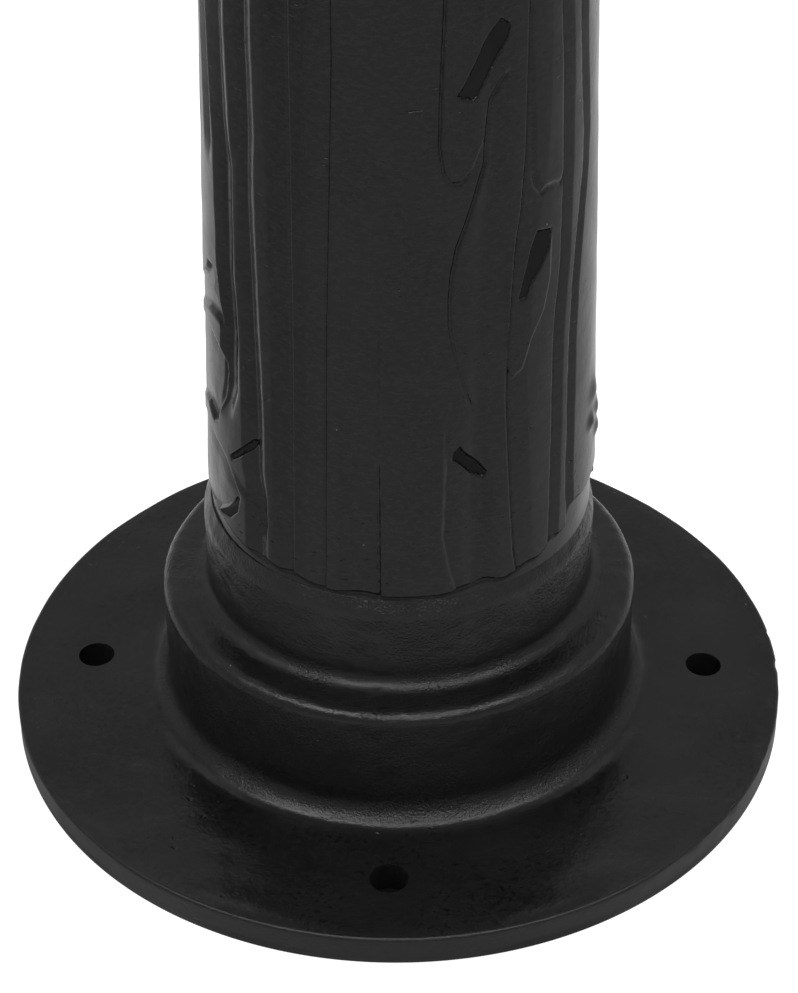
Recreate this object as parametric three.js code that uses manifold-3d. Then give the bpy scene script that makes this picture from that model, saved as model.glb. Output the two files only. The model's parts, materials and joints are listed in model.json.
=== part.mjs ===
// A two-faced street clock on a cast post.
// Millimetres, +Z up, origin at the middle of the foot's underside, front face towards -Y.
// The foot carries a fluted, tapering lower column, a cap, a slim fluted upper post and a bracket.
// One tie rod clamps these castings together. The bracket carries a drum with a face on each side.
import * as THREE from "three";
import { mergeVertices } from "three/addons/utils/BufferGeometryUtils.js";
import Module from "manifold-3d";

const wasm = await Module();
wasm.setup();

// Clearances and how finely round forms are cut
const seatGap = 0.3;
const overrun = 2;
const weldDistance = 1e-4;
const footSegments = 48;
const turnedSegments = 32;
const faceSegments = 36;
const smallSegments = 12;
const arcSteps = 2;

// Foot: round plate, stepped collar and plain neck, cast in one and hollow below
const footRadius = 150;
const footThickness = 12;
const footEdgeRound = 1.5;
const boltCircleRadius = 120.5;
const boltHoleRadius = 7;
const boltHoleCount = 4;
const collarRadius = 90.5;
const collarTop = 61.5;
const collarFillet = 10;
const collarRound = 4.5;
const neckRadius = 73.3;
const neckTop = 99;
const neckFillet = 5.5;
const castWall = 8;
const socketWall = 7;
const rodHoleRadius = 7.5;

// Lower column: tapering, with a spigot down into the neck. A quarter of it has six flutes between a
// wide band at the front or rear and a wide band at the side. Their angles, in degrees from the front
// or rear, change with height.
const columnHeight = 660;
const columnBottomRadius = 72.2;
const columnTopRadius = 48.5;
const columnWall = 9;
const flutesPerQuarter = 6;
const fluteDepth = 1.9;
const fluteWidthShare = 0.4;
const fluteLevelShares = [0, 0.17, 0.305, 1];
const firstFluteAngles = [18.6, 17.5, 15.5, 15.5];
const flutePitchAngles = [10.3, 10.8, 13.2, 13.2];

// Column cap: a turned casting that steps down to the upper post
const capSpigotLength = 26;
const capBeadRadius = 58;
const capBeadHeight = 16;
const capCoveRadius = 43;
const capRingRadius = 50;
const capRingHeight = 9;
const capRingLevel = 40;
const capTopRadius = 38;
const capHeight = 96;
const capCoveAngle = 60;
const capLipHeight = 8;
const capLip = 3;

// Upper post: a slim tube with twelve round flutes
const postRadius = 30;
const postLength = 905;
const postSeatDepth = 30;
const postBoreRadius = 22;
const postFluteCount = 12;
const postFluteRadius = 5;
const postFluteDepth = 1.6;

// Ring half way up the upper post, held by one screw
const ringRadius = 44;
const ringBandRadius = 37;
const ringHeight = 54;
const ringScrewRadius = 3;
const ringScrewLength = 10;
const ringLevelShare = 0.5;

// Head bracket: socket, bell and saddle under the drum
const bracketSeatDepth = 35;
const bracketBeadRadius = 46;
const bracketBeadHeight = 18;
const bracketSocketRadius = 38;
const bracketBellRadius = 66;
const bracketHeight = 118;
const bracketNutRecessRadius = 20;
const bracketNutRecessDepth = 26;
const saddleWidth = 170;
const saddleDepth = 96;
const saddleThickness = 24;

// Tie rod with a washer and nut at each end
const rodRadius = 6;
const rodTail = 4;
const rodWasherRadius = 16;
const rodWasherThickness = 3;
const rodNutAcross = 19;
const rodNutHeight = 10;

// Drum: rolled shell with a bead at each rim and a seat ring behind each dial
const drumRadius = 205;
const drumWall = 4;
const drumHalfDepth = 70;
const drumRimBead = 3;
const drumRimWidth = 8;
const dialSeatWidth = 19;
const dialSeatThickness = 3;
const drumBoltAngle = THREE.MathUtils.degToRad(16);
const drumBoltRadius = 4;
const drumBoltHeadAcross = 13;
const drumBoltHeadHeight = 5;
const drumBoltGrip = 18;

// Finial on top of the drum
const finialFootRadius = 36;
const finialFootHeight = 14;
const finialStemRadius = 12;
const finialBallRadius = 27;
const finialBallAngle = 60;
const finialCollarRadius = 18;
const finialHeight = 138;
const finialBoltRadius = 4;
const finialBoltReach = 14;

// Dial and its screws
const dialClearance = 3;
const dialThickness = 3;
const dialSetback = 19.7;
const dialHoleRadius = 6;
const dialScrewRadius = 2;
const dialScrewHeadRadius = 4.5;
const dialScrewHeadHeight = 2;
const dialScrewInset = 7;
const dialScrewTail = 1.5;
const dialScrewAngle = THREE.MathUtils.degToRad(45);

// Bezel, its glass, gasket and retaining ring
const bezelOverhang = 7;
const bezelWidth = 28;
const bezelDepth = 19.7;
const bezelShoulderHeight = 12.7;
const bezelCrownInset = 8;
const bezelLipThickness = 3;
const glassOverlap = 6;
const glassClearance = 0.6;
const glassThickness = 4;
const gasketThickness = 1.6;
const gasketWidth = 5;
const retainerWidth = 4;
const retainerThickness = 2.8;

// Bezel hinge, knob and catch
const hingeStandoff = 6.5;
const hingeRadius = 5;
const hingeWebDepth = 25;
const hingePinRadius = 2.2;
const hingePinClearance = 0.35;
const hingeKnuckleLength = 20;
const hingePinOverhang = 3;
const hingeHeadRadius = 3.8;
const hingeHeadHeight = 2;
const knobRadius = 7;
const knobNeckRadius = 4;
const knobNeckHeight = 4;
const knobHeadHeight = 7;
const knobInset = 14;
const catchWidth = 9;
const catchDepth = 14;
const catchHeight = 22;

// Movement: moulded case with a gear chamber and a battery bay
const movementWidth = 72;
const movementTop = 36;
const movementBottom = 60;
const movementDepth = 27;
const movementWall = 2;
const batteryBayHeight = 15;
const bushRadius = 5.5;
const bushBoreRadius = 3.6;
const bushLength = 7;
const nutAcross = 18;
const nutHeight = 3.5;
const coverThickness = 2;
const bearingRadius = 4;
const bearingLength = 3;
const batteryRadius = 7;
const batteryLength = 49;
const batteryNubRadius = 2.6;
const batteryNubLength = 1.5;

// Motion work: 12 turns of the minute arbor for 1 of the hour wheel
const wheelSpacing = 16;
const smallWheelTeeth = 8;
const minuteWheelTeeth = 24;
const hourWheelTeeth = 32;
const addendumShare = 0.85;
const dedendumShare = 1.2;
const toothRootShare = 0.3;
const toothTipShare = 0.11;
const wheelThickness = 3;
const wheelGap = 1;
const minuteWheelOffset = 6;
const arborRadius = 1.5;
const arborSeat = 1;
const pipeRadius = 3.1;
const pipeBoreRadius = 1.95;
const pipeTail = 0.4;
const arborTail = 1.2;
const settingKnobRadius = 8;
const settingKnobThickness = 5;

// Hands
const handThickness = 1.2;
const hourHandHeight = 6.7;
const minuteHandHeight = 10.9;
const hourHandLength = 108;
const minuteHandLength = 160;
const hourHandWidth = 17;
const minuteHandWidth = 12;
const handTipWidth = 3;
const handTailLength = 36;
const handHubRadius = 12;
const handSpadeShares = [0.6, 0.76, 0.9];
const handCapRadius = 4.5;
const handCapHeight = 4;
const minutesShown = 9;
const hourShown = 10;

// Places out from the drum's middle, and from its axis
const dialFront = drumHalfDepth - dialSetback;
const dialBack = dialFront - dialThickness;
const dialSeatFront = dialBack - seatGap;
const dialSeatBack = dialSeatFront - dialSeatThickness;
const dialScrewEnd = dialSeatBack - dialScrewTail;
const movementFront = dialBack - seatGap;
const movementBack = movementFront - movementDepth;
const minuteWheelBack = movementBack + minuteWheelOffset;
const hourHandLevel = dialFront + hourHandHeight;
const minuteHandLevel = dialFront + minuteHandHeight;
const hourPipeEnd = hourHandLevel + handThickness + pipeTail;
const minuteArborEnd = minuteHandLevel + handThickness + arborTail;
const bezelBack = drumHalfDepth + seatGap;
const bezelFront = bezelBack + bezelDepth;
const bezelShoulder = bezelBack + bezelShoulderHeight;
const bezelLip = bezelShoulder - bezelLipThickness;
const drumBoreRadius = drumRadius - drumWall;
const drumBoreFlat = drumBoreRadius * Math.cos(Math.PI / faceSegments);
const dialRadius = drumBoreRadius - dialClearance;
const dialScrewCircle = dialRadius - dialScrewInset;
const bezelRadius = drumRadius + bezelOverhang;
const bezelOpeningRadius = bezelRadius - bezelWidth;
const bezelCrownRadius = bezelRadius - bezelCrownInset;
const glassRadius = bezelOpeningRadius + glassOverlap;
const knobCircleRadius = bezelRadius - knobInset;
const hingeOffset = bezelRadius + hingeStandoff;
const hingeLevel = drumHalfDepth + hingeRadius;

// Places up the post
const columnBottom = neckTop + seatGap;
const columnTop = columnBottom + columnHeight;
const capBottom = columnTop + seatGap;
const capTop = capBottom + capHeight;
const postBottom = capTop - postSeatDepth + seatGap;
const postTop = postBottom + postLength;
const bracketSocketTop = postTop + seatGap;
const bracketBottom = bracketSocketTop - bracketSeatDepth;
const bracketTop = bracketBottom + bracketHeight;
const drumSeatRadius = drumRadius + seatGap;
const drumCentre = bracketTop + drumSeatRadius;
const rodFootSeat = collarTop - castWall - seatGap;
const rodHeadSeat = bracketTop - bracketNutRecessDepth + seatGap;

// Materials
const finish = (color, roughness, metalness) =>
  new THREE.MeshStandardMaterial({ color, roughness, metalness });
const blackPaint = finish(0x17181a, 0.38, 0.1);
const drumPaint = finish(0x141517, 0.3, 0.1);
const zincSteel = finish(0x9b9d9e, 0.4, 0.9);
const brass = finish(0xb8923f, 0.32, 0.95);
const dialWhite = finish(0xefece0, 0.55, 0);
const handBlack = finish(0x101011, 0.35, 0.2);
const blackPlastic = finish(0x1c1c1e, 0.5, 0);
const palePlastic = finish(0xd9d6cc, 0.5, 0);
const batteryWrap = finish(0x35383c, 0.4, 0.3);
const clearGlass = finish(0xdfe9ea, 0.05, 0);
const gasketRubber = finish(0x18181a, 0.8, 0);

// A closed turned solid about +Z from [radius, height] points that run round its section.
function turned(points, segments) {
  const section = points.map(([radius, height]) => new THREE.Vector2(radius, height));
  const hollow = section[0].x > 0;
  if (THREE.ShapeUtils.area(section) < 0) section.reverse();
  if (hollow) section.push(section[0].clone());
  return new THREE.LatheGeometry(section, segments).rotateX(Math.PI / 2);
}

// Points along a quarter round about a centre, from one angle to another.
function arc(centreRadius, centreHeight, radius, from, to, steps = arcSteps) {
  return Array.from({ length: steps + 1 }, (_, i) => {
    const angle = THREE.MathUtils.degToRad(from + ((to - from) * i) / steps);
    return [centreRadius + radius * Math.cos(angle), centreHeight + radius * Math.sin(angle)];
  });
}

// A flat outline pushed up along +Z.
function prism(outline, depth) {
  const shape = outline instanceof THREE.Shape ? outline : new THREE.Shape(outline);
  return new THREE.ExtrudeGeometry(shape, { depth, steps: 1, bevelEnabled: false });
}

function rod(radius, from, to, segments = smallSegments) {
  return turned([[0, from], [radius, from], [radius, to], [0, to]], segments);
}

// A block by its two opposite corners.
function block(low, high) {
  const size = high.map((end, i) => end - low[i]);
  const middle = high.map((end, i) => (end + low[i]) / 2);
  return new THREE.BoxGeometry(...size).translate(...middle);
}

function regular(sides, circumradius) {
  return Array.from({ length: sides }, (_, i) => {
    const angle = (i * 2 * Math.PI) / sides;
    return new THREE.Vector2(circumradius * Math.cos(angle), circumradius * Math.sin(angle));
  });
}

function hexagon(across) {
  return regular(6, across / 2 / Math.cos(Math.PI / 6));
}

// Solids for joins and cuts
function solidOf(geometry) {
  const bare = geometry.clone();
  bare.deleteAttribute("normal");
  bare.deleteAttribute("uv");
  const merged = mergeVertices(bare, weldDistance);
  return new wasm.Manifold(
    new wasm.Mesh({
      numProp: 3,
      vertProperties: merged.attributes.position.array,
      triVerts: new Uint32Array(merged.index.array),
    }),
  );
}

function geometryOf(solid) {
  const mesh = solid.getMesh();
  const geometry = new THREE.BufferGeometry();
  geometry.setAttribute("position", new THREE.BufferAttribute(mesh.vertProperties, 3));
  geometry.setIndex(new THREE.BufferAttribute(mesh.triVerts, 1));
  const flat = geometry.toNonIndexed();
  flat.computeVertexNormals();
  return flat;
}

function cut(geometry, ...tools) {
  return geometryOf(tools.reduce((solid, tool) => solid.subtract(solidOf(tool)), solidOf(geometry)));
}

function join(geometry, ...others) {
  return geometryOf(others.reduce((solid, other) => solid.add(solidOf(other)), solidOf(geometry)));
}

function piece(name, geometry, material) {
  const mesh = new THREE.Mesh(geometry, material);
  mesh.name = name;
  return mesh;
}

// A washer or nut: an outline with a round hole, pushed up from a level.
function ringPlate(outline, holeRadius, from, thickness) {
  const shape = new THREE.Shape(outline);
  shape.holes.push(new THREE.Path(regular(smallSegments, holeRadius)));
  return prism(shape, thickness).translate(0, 0, from);
}

// Foot casting with its four bolt holes
function footGeometry() {
  const hollowTop = collarTop - castWall;
  const socketRadius = neckRadius - socketWall;
  const body = turned(
    [
      [collarRadius - castWall, 0],
      [footRadius - footEdgeRound, 0],
      [footRadius, footEdgeRound],
      [footRadius, footThickness - footEdgeRound],
      [footRadius - footEdgeRound, footThickness],
      ...arc(collarRadius + collarFillet, footThickness + collarFillet, collarFillet, 270, 180),
      ...arc(collarRadius - collarRound, collarTop - collarRound, collarRound, 0, 90),
      ...arc(neckRadius + neckFillet, collarTop + neckFillet, neckFillet, 270, 180),
      [neckRadius, neckTop - footEdgeRound],
      [neckRadius - footEdgeRound, neckTop],
      [socketRadius, neckTop],
      [socketRadius, collarTop],
      [rodHoleRadius, collarTop],
      [rodHoleRadius, hollowTop],
      [collarRadius - castWall, hollowTop],
    ],
    footSegments,
  );
  const holes = regular(boltHoleCount, boltCircleRadius).map((spot) =>
    rod(boltHoleRadius, -overrun, footThickness + overrun, turnedSegments / 2).translate(spot.x, spot.y, 0),
  );
  return cut(body, ...holes);
}

// Section of a fluted casting whose mould opened sideways, at a share of the column's height. Each
// groove has one sharp wall, and its other side is filled level with the mould's opening direction.
function draftedSection(share) {
  const radius = THREE.MathUtils.lerp(columnBottomRadius, columnTopRadius, share);
  const floor = radius - (fluteDepth * radius) / columnBottomRadius;
  const quarterTurn = Math.PI / 2;
  const row = fluteLevelShares.indexOf(share);
  const first = THREE.MathUtils.degToRad(firstFluteAngles[row]);
  const pitch = THREE.MathUtils.degToRad(flutePitchAngles[row]);
  const quarter = [[0, radius], [first / 2, radius]];
  for (let i = 0; i < flutesPerQuarter; i++) {
    const edge = first + i * pitch;
    const far = edge + pitch * fluteWidthShare;
    const rampFoot = Math.acos((radius * Math.cos(far)) / floor);
    quarter.push([edge, radius], [edge, floor], [rampFoot, floor], [far, radius]);
  }
  const last = first + (flutesPerQuarter - 1 + fluteWidthShare) * pitch;
  quarter.push([(last + quarterTurn) / 2, radius], [quarterTurn, radius]);
  const spots = quarter.map(([angle, r]) => new THREE.Vector2(r * Math.sin(angle), r * Math.cos(angle)));
  const side = (across, along) => spots.map((spot) => new THREE.Vector2(across * spot.x, along * spot.y));
  return [
    ...side(1, -1),
    ...side(1, 1).reverse().slice(1),
    ...side(-1, 1).slice(1),
    ...side(-1, -1).reverse().slice(1, -1),
  ];
}

// A solid through level sections with the same count of points
function loft(sections, heights) {
  const count = sections[0].length;
  const top = (sections.length - 1) * count;
  const spots = sections.flatMap((section, row) => section.map((p) => [p.x, p.y, heights[row]]));
  const faces = [];
  for (let row = 0; row < top; row += count) {
    for (let i = 0; i < count; i++) {
      const next = (i + 1) % count;
      faces.push([row + i, row + next, row + count + next], [row + i, row + count + next, row + count + i]);
    }
  }
  for (const [a, b, c] of THREE.ShapeUtils.triangulateShape(sections[0], [])) faces.push([a, c, b]);
  for (const [a, b, c] of THREE.ShapeUtils.triangulateShape(sections.at(-1), [])) {
    faces.push([top + a, top + b, top + c]);
  }
  const geometry = new THREE.BufferGeometry();
  geometry.setAttribute("position", new THREE.Float32BufferAttribute(spots.flat(), 3));
  geometry.setIndex(faces.flat());
  return geometry;
}

function lowerColumnGeometry() {
  const spigotRadius = neckRadius - socketWall - seatGap;
  const shaft = loft(
    fluteLevelShares.map(draftedSection),
    fluteLevelShares.map((share) => columnBottom + columnHeight * share),
  );
  const spigot = rod(spigotRadius, collarTop + seatGap, columnBottom + overrun, turnedSegments);
  const boreBottom = spigotRadius - castWall;
  const boreTop = columnTopRadius - columnWall;
  const bore = turned(
    [
      [0, collarTop - overrun],
      [boreBottom, collarTop - overrun],
      [boreBottom, columnBottom],
      [boreTop, columnTop - capSpigotLength - overrun],
      [boreTop, columnTop + overrun],
      [0, columnTop + overrun],
    ],
    turnedSegments,
  );
  return cut(join(shaft, spigot), bore);
}

function capGeometry() {
  const spigotRadius = columnTopRadius - columnWall - seatGap;
  const beadCentre = capBeadRadius - capBeadHeight / 2;
  const socketBottom = capHeight - postSeatDepth;
  const cove = capRingLevel - capBeadHeight;
  const coveCentre = capCoveRadius + cove / 2;
  return turned(
    [
      [rodHoleRadius, -capSpigotLength],
      [spigotRadius, -capSpigotLength],
      [spigotRadius, 0],
      ...arc(beadCentre, capBeadHeight / 2, capBeadHeight / 2, -90, 90, arcSteps + 1),
      ...arc(coveCentre, capBeadHeight + cove / 2, cove / 2, 180 + capCoveAngle, 180 - capCoveAngle),
      [capRingRadius, capRingLevel],
      [capRingRadius, capRingLevel + capRingHeight],
      [capTopRadius + capLip, capRingLevel + capRingHeight + capLip],
      [capTopRadius, capHeight - capLipHeight - capLip],
      [capTopRadius + capLip, capHeight - capLipHeight],
      [capTopRadius + capLip, capHeight],
      [postRadius + seatGap, capHeight],
      [postRadius + seatGap, socketBottom],
      [rodHoleRadius, socketBottom],
    ],
    turnedSegments,
  );
}

function upperPostGeometry() {
  const halfFlute = postFluteRadius / postRadius;
  const loop = [];
  for (let i = 0; i < postFluteCount; i++) {
    const middle = (i * 2 * Math.PI) / postFluteCount;
    const floor = postRadius - postFluteDepth;
    for (const [turn, radius] of [
      [-halfFlute, postRadius],
      [-halfFlute / 2, floor + postFluteDepth / 4],
      [halfFlute / 2, floor + postFluteDepth / 4],
      [halfFlute, postRadius],
    ]) {
      loop.push(new THREE.Vector2(radius * Math.cos(middle + turn), radius * Math.sin(middle + turn)));
    }
  }
  const shape = new THREE.Shape(loop);
  shape.holes.push(new THREE.Path(regular(turnedSegments, postBoreRadius)));
  return prism(shape, postLength);
}

function postRingGeometry() {
  const bead = ringHeight / 6;
  const body = turned(
    [
      [postRadius + seatGap, -ringHeight / 2],
      [ringBandRadius, -ringHeight / 2],
      [ringBandRadius, -bead * 2],
      ...arc(ringRadius - bead, 0, bead, -90, 90, arcSteps + 1),
      [ringBandRadius, bead * 2],
      [ringBandRadius, ringHeight / 2],
      [postRadius + seatGap, ringHeight / 2],
    ],
    turnedSegments,
  );
  const hole = rod(ringScrewRadius + seatGap, 0, ringRadius + overrun).rotateX(-Math.PI / 2);
  return cut(body, hole.translate(0, 0, -ringHeight / 2 + bead));
}

function ringScrewGeometry() {
  const start = postRadius + seatGap;
  return rod(ringScrewRadius, start, start + ringScrewLength).rotateX(-Math.PI / 2);
}

// Bracket in its own frame: the socket's mouth is at height zero.
function bracketGeometry() {
  const bead = bracketBeadHeight / 2;
  const saddleBottom = bracketHeight - saddleThickness;
  const shoulder = bracketSeatDepth + bracketBeadHeight;
  const recessBottom = bracketHeight - bracketNutRecessDepth;
  const drumAxis = bracketHeight + drumSeatRadius;
  const body = turned(
    [
      [postRadius + seatGap, 0],
      [bracketSocketRadius, 0],
      [bracketSocketRadius, bracketSeatDepth],
      ...arc(bracketBeadRadius - bead, bracketSeatDepth + bead, bead, -90, 90, arcSteps + 1),
      [bracketSocketRadius, shoulder + bead],
      [bracketBellRadius, saddleBottom],
      [bracketBellRadius, saddleBottom + overrun],
      [rodHoleRadius, saddleBottom + overrun],
      [rodHoleRadius, bracketSeatDepth],
      [postRadius + seatGap, bracketSeatDepth],
    ],
    turnedSegments,
  );
  const rise = drumSeatRadius - Math.sqrt(drumSeatRadius ** 2 - (saddleWidth / 2) ** 2);
  const saddle = block(
    [-saddleWidth / 2, -saddleDepth / 2, saddleBottom],
    [saddleWidth / 2, saddleDepth / 2, bracketHeight + rise],
  );
  const drumSpace = rod(drumSeatRadius, -saddleDepth, saddleDepth, faceSegments * 2)
    .rotateX(Math.PI / 2)
    .translate(0, 0, drumAxis);
  const recess = rod(bracketNutRecessRadius, recessBottom, bracketHeight + overrun, turnedSegments / 2);
  const through = rod(rodHoleRadius, 0, bracketHeight);
  const boltHoles = [-1, 1].map((side) =>
    rod(drumBoltRadius + seatGap, -drumSeatRadius - drumBoltGrip - overrun, -drumRadius + overrun)
      .rotateY(side * -drumBoltAngle)
      .translate(0, 0, drumAxis),
  );
  return cut(join(body, saddle), drumSpace, recess, through, ...boltHoles);
}

// Tie rod, its washers and its nuts, in the part's own frame
function rodSet() {
  const stack = rodWasherThickness + seatGap + rodNutHeight + rodTail;
  const group = new THREE.Group();
  const disc = regular(smallSegments * 2, rodWasherRadius);
  const clear = rodRadius + seatGap;
  const washer = (name, from) => piece(name, ringPlate(disc, clear, from, rodWasherThickness), zincSteel);
  const nut = (name, from) =>
    piece(name, ringPlate(hexagon(rodNutAcross), clear, from, rodNutHeight), zincSteel);
  group.add(
    piece("tie_rod", rod(rodRadius, rodFootSeat - stack, rodHeadSeat + stack), zincSteel),
    washer("tie_rod_foot_washer", rodFootSeat - rodWasherThickness),
    nut("tie_rod_foot_nut", rodFootSeat - rodWasherThickness - seatGap - rodNutHeight),
    washer("tie_rod_head_washer", rodHeadSeat),
    nut("tie_rod_head_nut", rodHeadSeat + rodWasherThickness + seatGap),
  );
  return group;
}

// Drum, in the frame of a face: +Z out of the front face, +Y up, origin at the drum's middle
function drumGeometry() {
  const bead = drumRadius + drumRimBead;
  const seatInner = drumBoreRadius - dialSeatWidth;
  const half = [
    [drumRadius, drumHalfDepth - drumRimWidth],
    [bead, drumHalfDepth - drumRimWidth + drumRimBead],
    [bead, drumHalfDepth],
    [drumBoreRadius, drumHalfDepth],
    [drumBoreRadius, dialSeatFront],
    [seatInner, dialSeatFront],
    [seatInner, dialSeatBack],
    [drumBoreRadius, dialSeatBack],
  ];
  const mirrored = half.map(([radius, height]) => [radius, -height]).reverse();
  const shell = turned([...half, ...mirrored], faceSegments);
  const lugs = [];
  for (const side of [1, -1]) {
    for (const end of [1, -1]) {
      lugs.push(hingeLug(end).rotateY(side > 0 ? 0 : Math.PI));
    }
  }
  const radial = (radius, from, to) => rod(radius, from, to).rotateX(Math.PI / 2);
  const boltHole = radial(drumBoltRadius + seatGap, drumBoreRadius - overrun, drumRadius + overrun);
  const holes = [-1, 1].map((side) => boltHole.clone().rotateZ(side * drumBoltAngle));
  const topHole = boltHole.clone().rotateZ(Math.PI);
  const screwHoles = [0, Math.PI].flatMap((turn) => dialScrewHoles().map((hole) => hole.rotateY(turn)));
  return cut(join(shell, ...lugs), ...holes, topHole, ...screwHoles);
}

// One of the drum's knuckles, above or below the bezel's own, with the web that carries it
function hingeLug(end) {
  const near = hingeKnuckleLength / 2 + seatGap;
  const far = near + hingeKnuckleLength;
  const web = new THREE.Shape([
    new THREE.Vector2(drumRadius - drumWall / 2, hingeLevel - hingeWebDepth),
    new THREE.Vector2(hingeOffset, hingeLevel - hingeRadius * 2),
    new THREE.Vector2(hingeOffset + hingeRadius, hingeLevel),
    new THREE.Vector2(hingeOffset, hingeLevel),
    new THREE.Vector2(hingeOffset - hingeRadius, hingeLevel - hingeRadius),
    new THREE.Vector2(drumRadius - drumWall / 2, hingeLevel - hingeRadius * 2),
  ]);
  const barrel = new THREE.Shape(regular(smallSegments, hingeRadius).map((p) => p.add(hingeAxis())));
  const start = end > 0 ? far : -near;
  const upright = (shape) => prism(shape, far - near).rotateX(Math.PI / 2).translate(0, start, 0);
  return cut(join(upright(web), upright(barrel)), hingeBore());
}

function hingeAxis() {
  return new THREE.Vector2(hingeOffset, hingeLevel);
}

function hingeBore() {
  const reach = hingeKnuckleLength * 2;
  return rod(hingePinRadius + hingePinClearance, -reach, reach)
    .rotateX(Math.PI / 2)
    .translate(hingeOffset, 0, hingeLevel);
}

// Finial in the face frame, standing on the drum's top along +Y
function finialGeometry() {
  const start = drumRadius;
  const foot = start + finialFootHeight;
  const ball = foot + finialBallRadius + finialFootHeight;
  const collar = ball + finialBallRadius;
  const tip = start + finialHeight;
  const body = turned(
    [
      [0, start - finialFootHeight],
      [finialFootRadius, start - finialFootHeight],
      [finialFootRadius, foot - finialFootHeight / 2],
      [finialStemRadius * 2, foot],
      [finialStemRadius, foot + finialFootHeight / 2],
      ...arc(0, ball, finialBallRadius, -finialBallAngle, finialBallAngle, arcSteps * 2),
      [finialStemRadius / 2, collar],
      [finialCollarRadius, collar + finialFootHeight / 4],
      [finialCollarRadius, collar + finialFootHeight / 2],
      [finialStemRadius / 2, collar + finialFootHeight],
      [0, tip],
    ],
    turnedSegments,
  ).rotateX(-Math.PI / 2);
  const drumSpace = rod(drumSeatRadius, -drumHalfDepth, drumHalfDepth, faceSegments * 2);
  const boltHole = rod(finialBoltRadius + seatGap, 0, drumRadius + finialBoltReach).rotateX(-Math.PI / 2);
  return cut(body, drumSpace, boltHole);
}

// A hex bolt from inside the drum, its shank pointing out along +Y
function drumBoltGeometry(reach) {
  const inner = drumBoreFlat - seatGap * 2;
  const headStart = inner - drumBoltHeadHeight;
  const head = prism(hexagon(drumBoltHeadAcross), drumBoltHeadHeight).translate(0, 0, headStart);
  const shank = rod(drumBoltRadius, inner - overrun, reach);
  return join(head, shank).rotateX(-Math.PI / 2);
}

function dialGeometry() {
  const plate = flatRing(dialRadius, dialHoleRadius, dialBack, dialThickness);
  return cut(plate, ...dialScrewHoles());
}

// Places for the dial's two screws
function dialScrewSpots() {
  return [dialScrewAngle, dialScrewAngle + Math.PI].map(
    (angle) => new THREE.Vector2(dialScrewCircle * Math.cos(angle), dialScrewCircle * Math.sin(angle)),
  );
}

// Holes for the screws, through the dial and the seat ring behind it
function dialScrewHoles() {
  return dialScrewSpots().map((spot) =>
    rod(dialScrewRadius + seatGap, dialScrewEnd - overrun, dialFront + overrun).translate(spot.x, spot.y, 0),
  );
}

function dialScrewGeometry() {
  const seat = dialFront + seatGap;
  return turned(
    [
      [0, dialScrewEnd],
      [dialScrewRadius, dialScrewEnd],
      [dialScrewRadius, seat],
      [dialScrewHeadRadius, seat],
      [dialScrewHeadRadius - dialScrewRadius / 2, seat + dialScrewHeadHeight],
      [0, seat + dialScrewHeadHeight],
    ],
    smallSegments,
  );
}

function bezelGeometry() {
  const body = turned(
    [
      [bezelRadius, bezelBack],
      [bezelRadius, bezelShoulder],
      [bezelCrownRadius, bezelFront],
      [bezelOpeningRadius, bezelShoulder],
      [bezelOpeningRadius, bezelLip],
      [glassRadius + glassClearance, bezelLip],
      [glassRadius + glassClearance, bezelBack],
    ],
    faceSegments,
  );
  const half = hingeKnuckleLength / 2;
  const barrel = rod(hingeRadius, -half, half).rotateX(Math.PI / 2).translate(hingeOffset, 0, hingeLevel);
  const web = block(
    [bezelRadius - drumWall, -half, bezelBack],
    [hingeOffset, half, hingeLevel + hingeRadius / 2],
  );
  return cut(join(body, barrel, web), hingeBore());
}

function flatRing(outer, inner, from, thickness) {
  const to = from + thickness;
  return turned([[inner, from], [outer, from], [outer, to], [inner, to]], faceSegments);
}

function hingePinGeometry() {
  const end = hingeKnuckleLength * 1.5 + seatGap + hingePinOverhang;
  return turned(
    [
      [0, -end],
      [hingePinRadius, -end],
      [hingePinRadius, end - hingePinOverhang + seatGap],
      [hingeHeadRadius, end - hingePinOverhang + seatGap],
      [hingeHeadRadius, end - hingePinOverhang + seatGap + hingeHeadHeight],
      [0, end - hingePinOverhang + seatGap + hingeHeadHeight],
    ],
    smallSegments,
  )
    .rotateX(-Math.PI / 2)
    .translate(hingeOffset, 0, hingeLevel);
}

function knobGeometry() {
  return turned(
    [
      [0, 0],
      [knobNeckRadius, 0],
      [knobNeckRadius, knobNeckHeight],
      [knobRadius, knobNeckHeight + knobHeadHeight / 4],
      [knobRadius, knobNeckHeight + knobHeadHeight / 2],
      [knobNeckRadius, knobNeckHeight + knobHeadHeight],
      [0, knobNeckHeight + knobHeadHeight],
    ],
    smallSegments,
  );
}

// The bezel's crown slopes down towards the glass, so the knob's foot stands on the slope's level.
function knobLevel() {
  const share = (knobCircleRadius - bezelOpeningRadius) / (bezelCrownRadius - bezelOpeningRadius);
  return bezelShoulder + (bezelFront - bezelShoulder) * share + knobNeckRadius / 2;
}

// Toothed outline with a tooth centred on the +X axis, plus a turn
function toothed(teeth, pitchRadius, turn) {
  const pitch = (2 * Math.PI) / teeth;
  const module = (2 * pitchRadius) / teeth;
  const tip = pitchRadius + module * addendumShare;
  const root = pitchRadius - module * dedendumShare;
  const spot = (angle, radius) => new THREE.Vector2(radius * Math.cos(angle), radius * Math.sin(angle));
  return Array.from({ length: teeth }, (_, i) => turn + i * pitch).flatMap((middle) => [
    spot(middle - pitch * toothRootShare, root),
    spot(middle - pitch * toothTipShare, tip),
    spot(middle + pitch * toothTipShare, tip),
    spot(middle + pitch * toothRootShare, root),
  ]);
}

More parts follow.
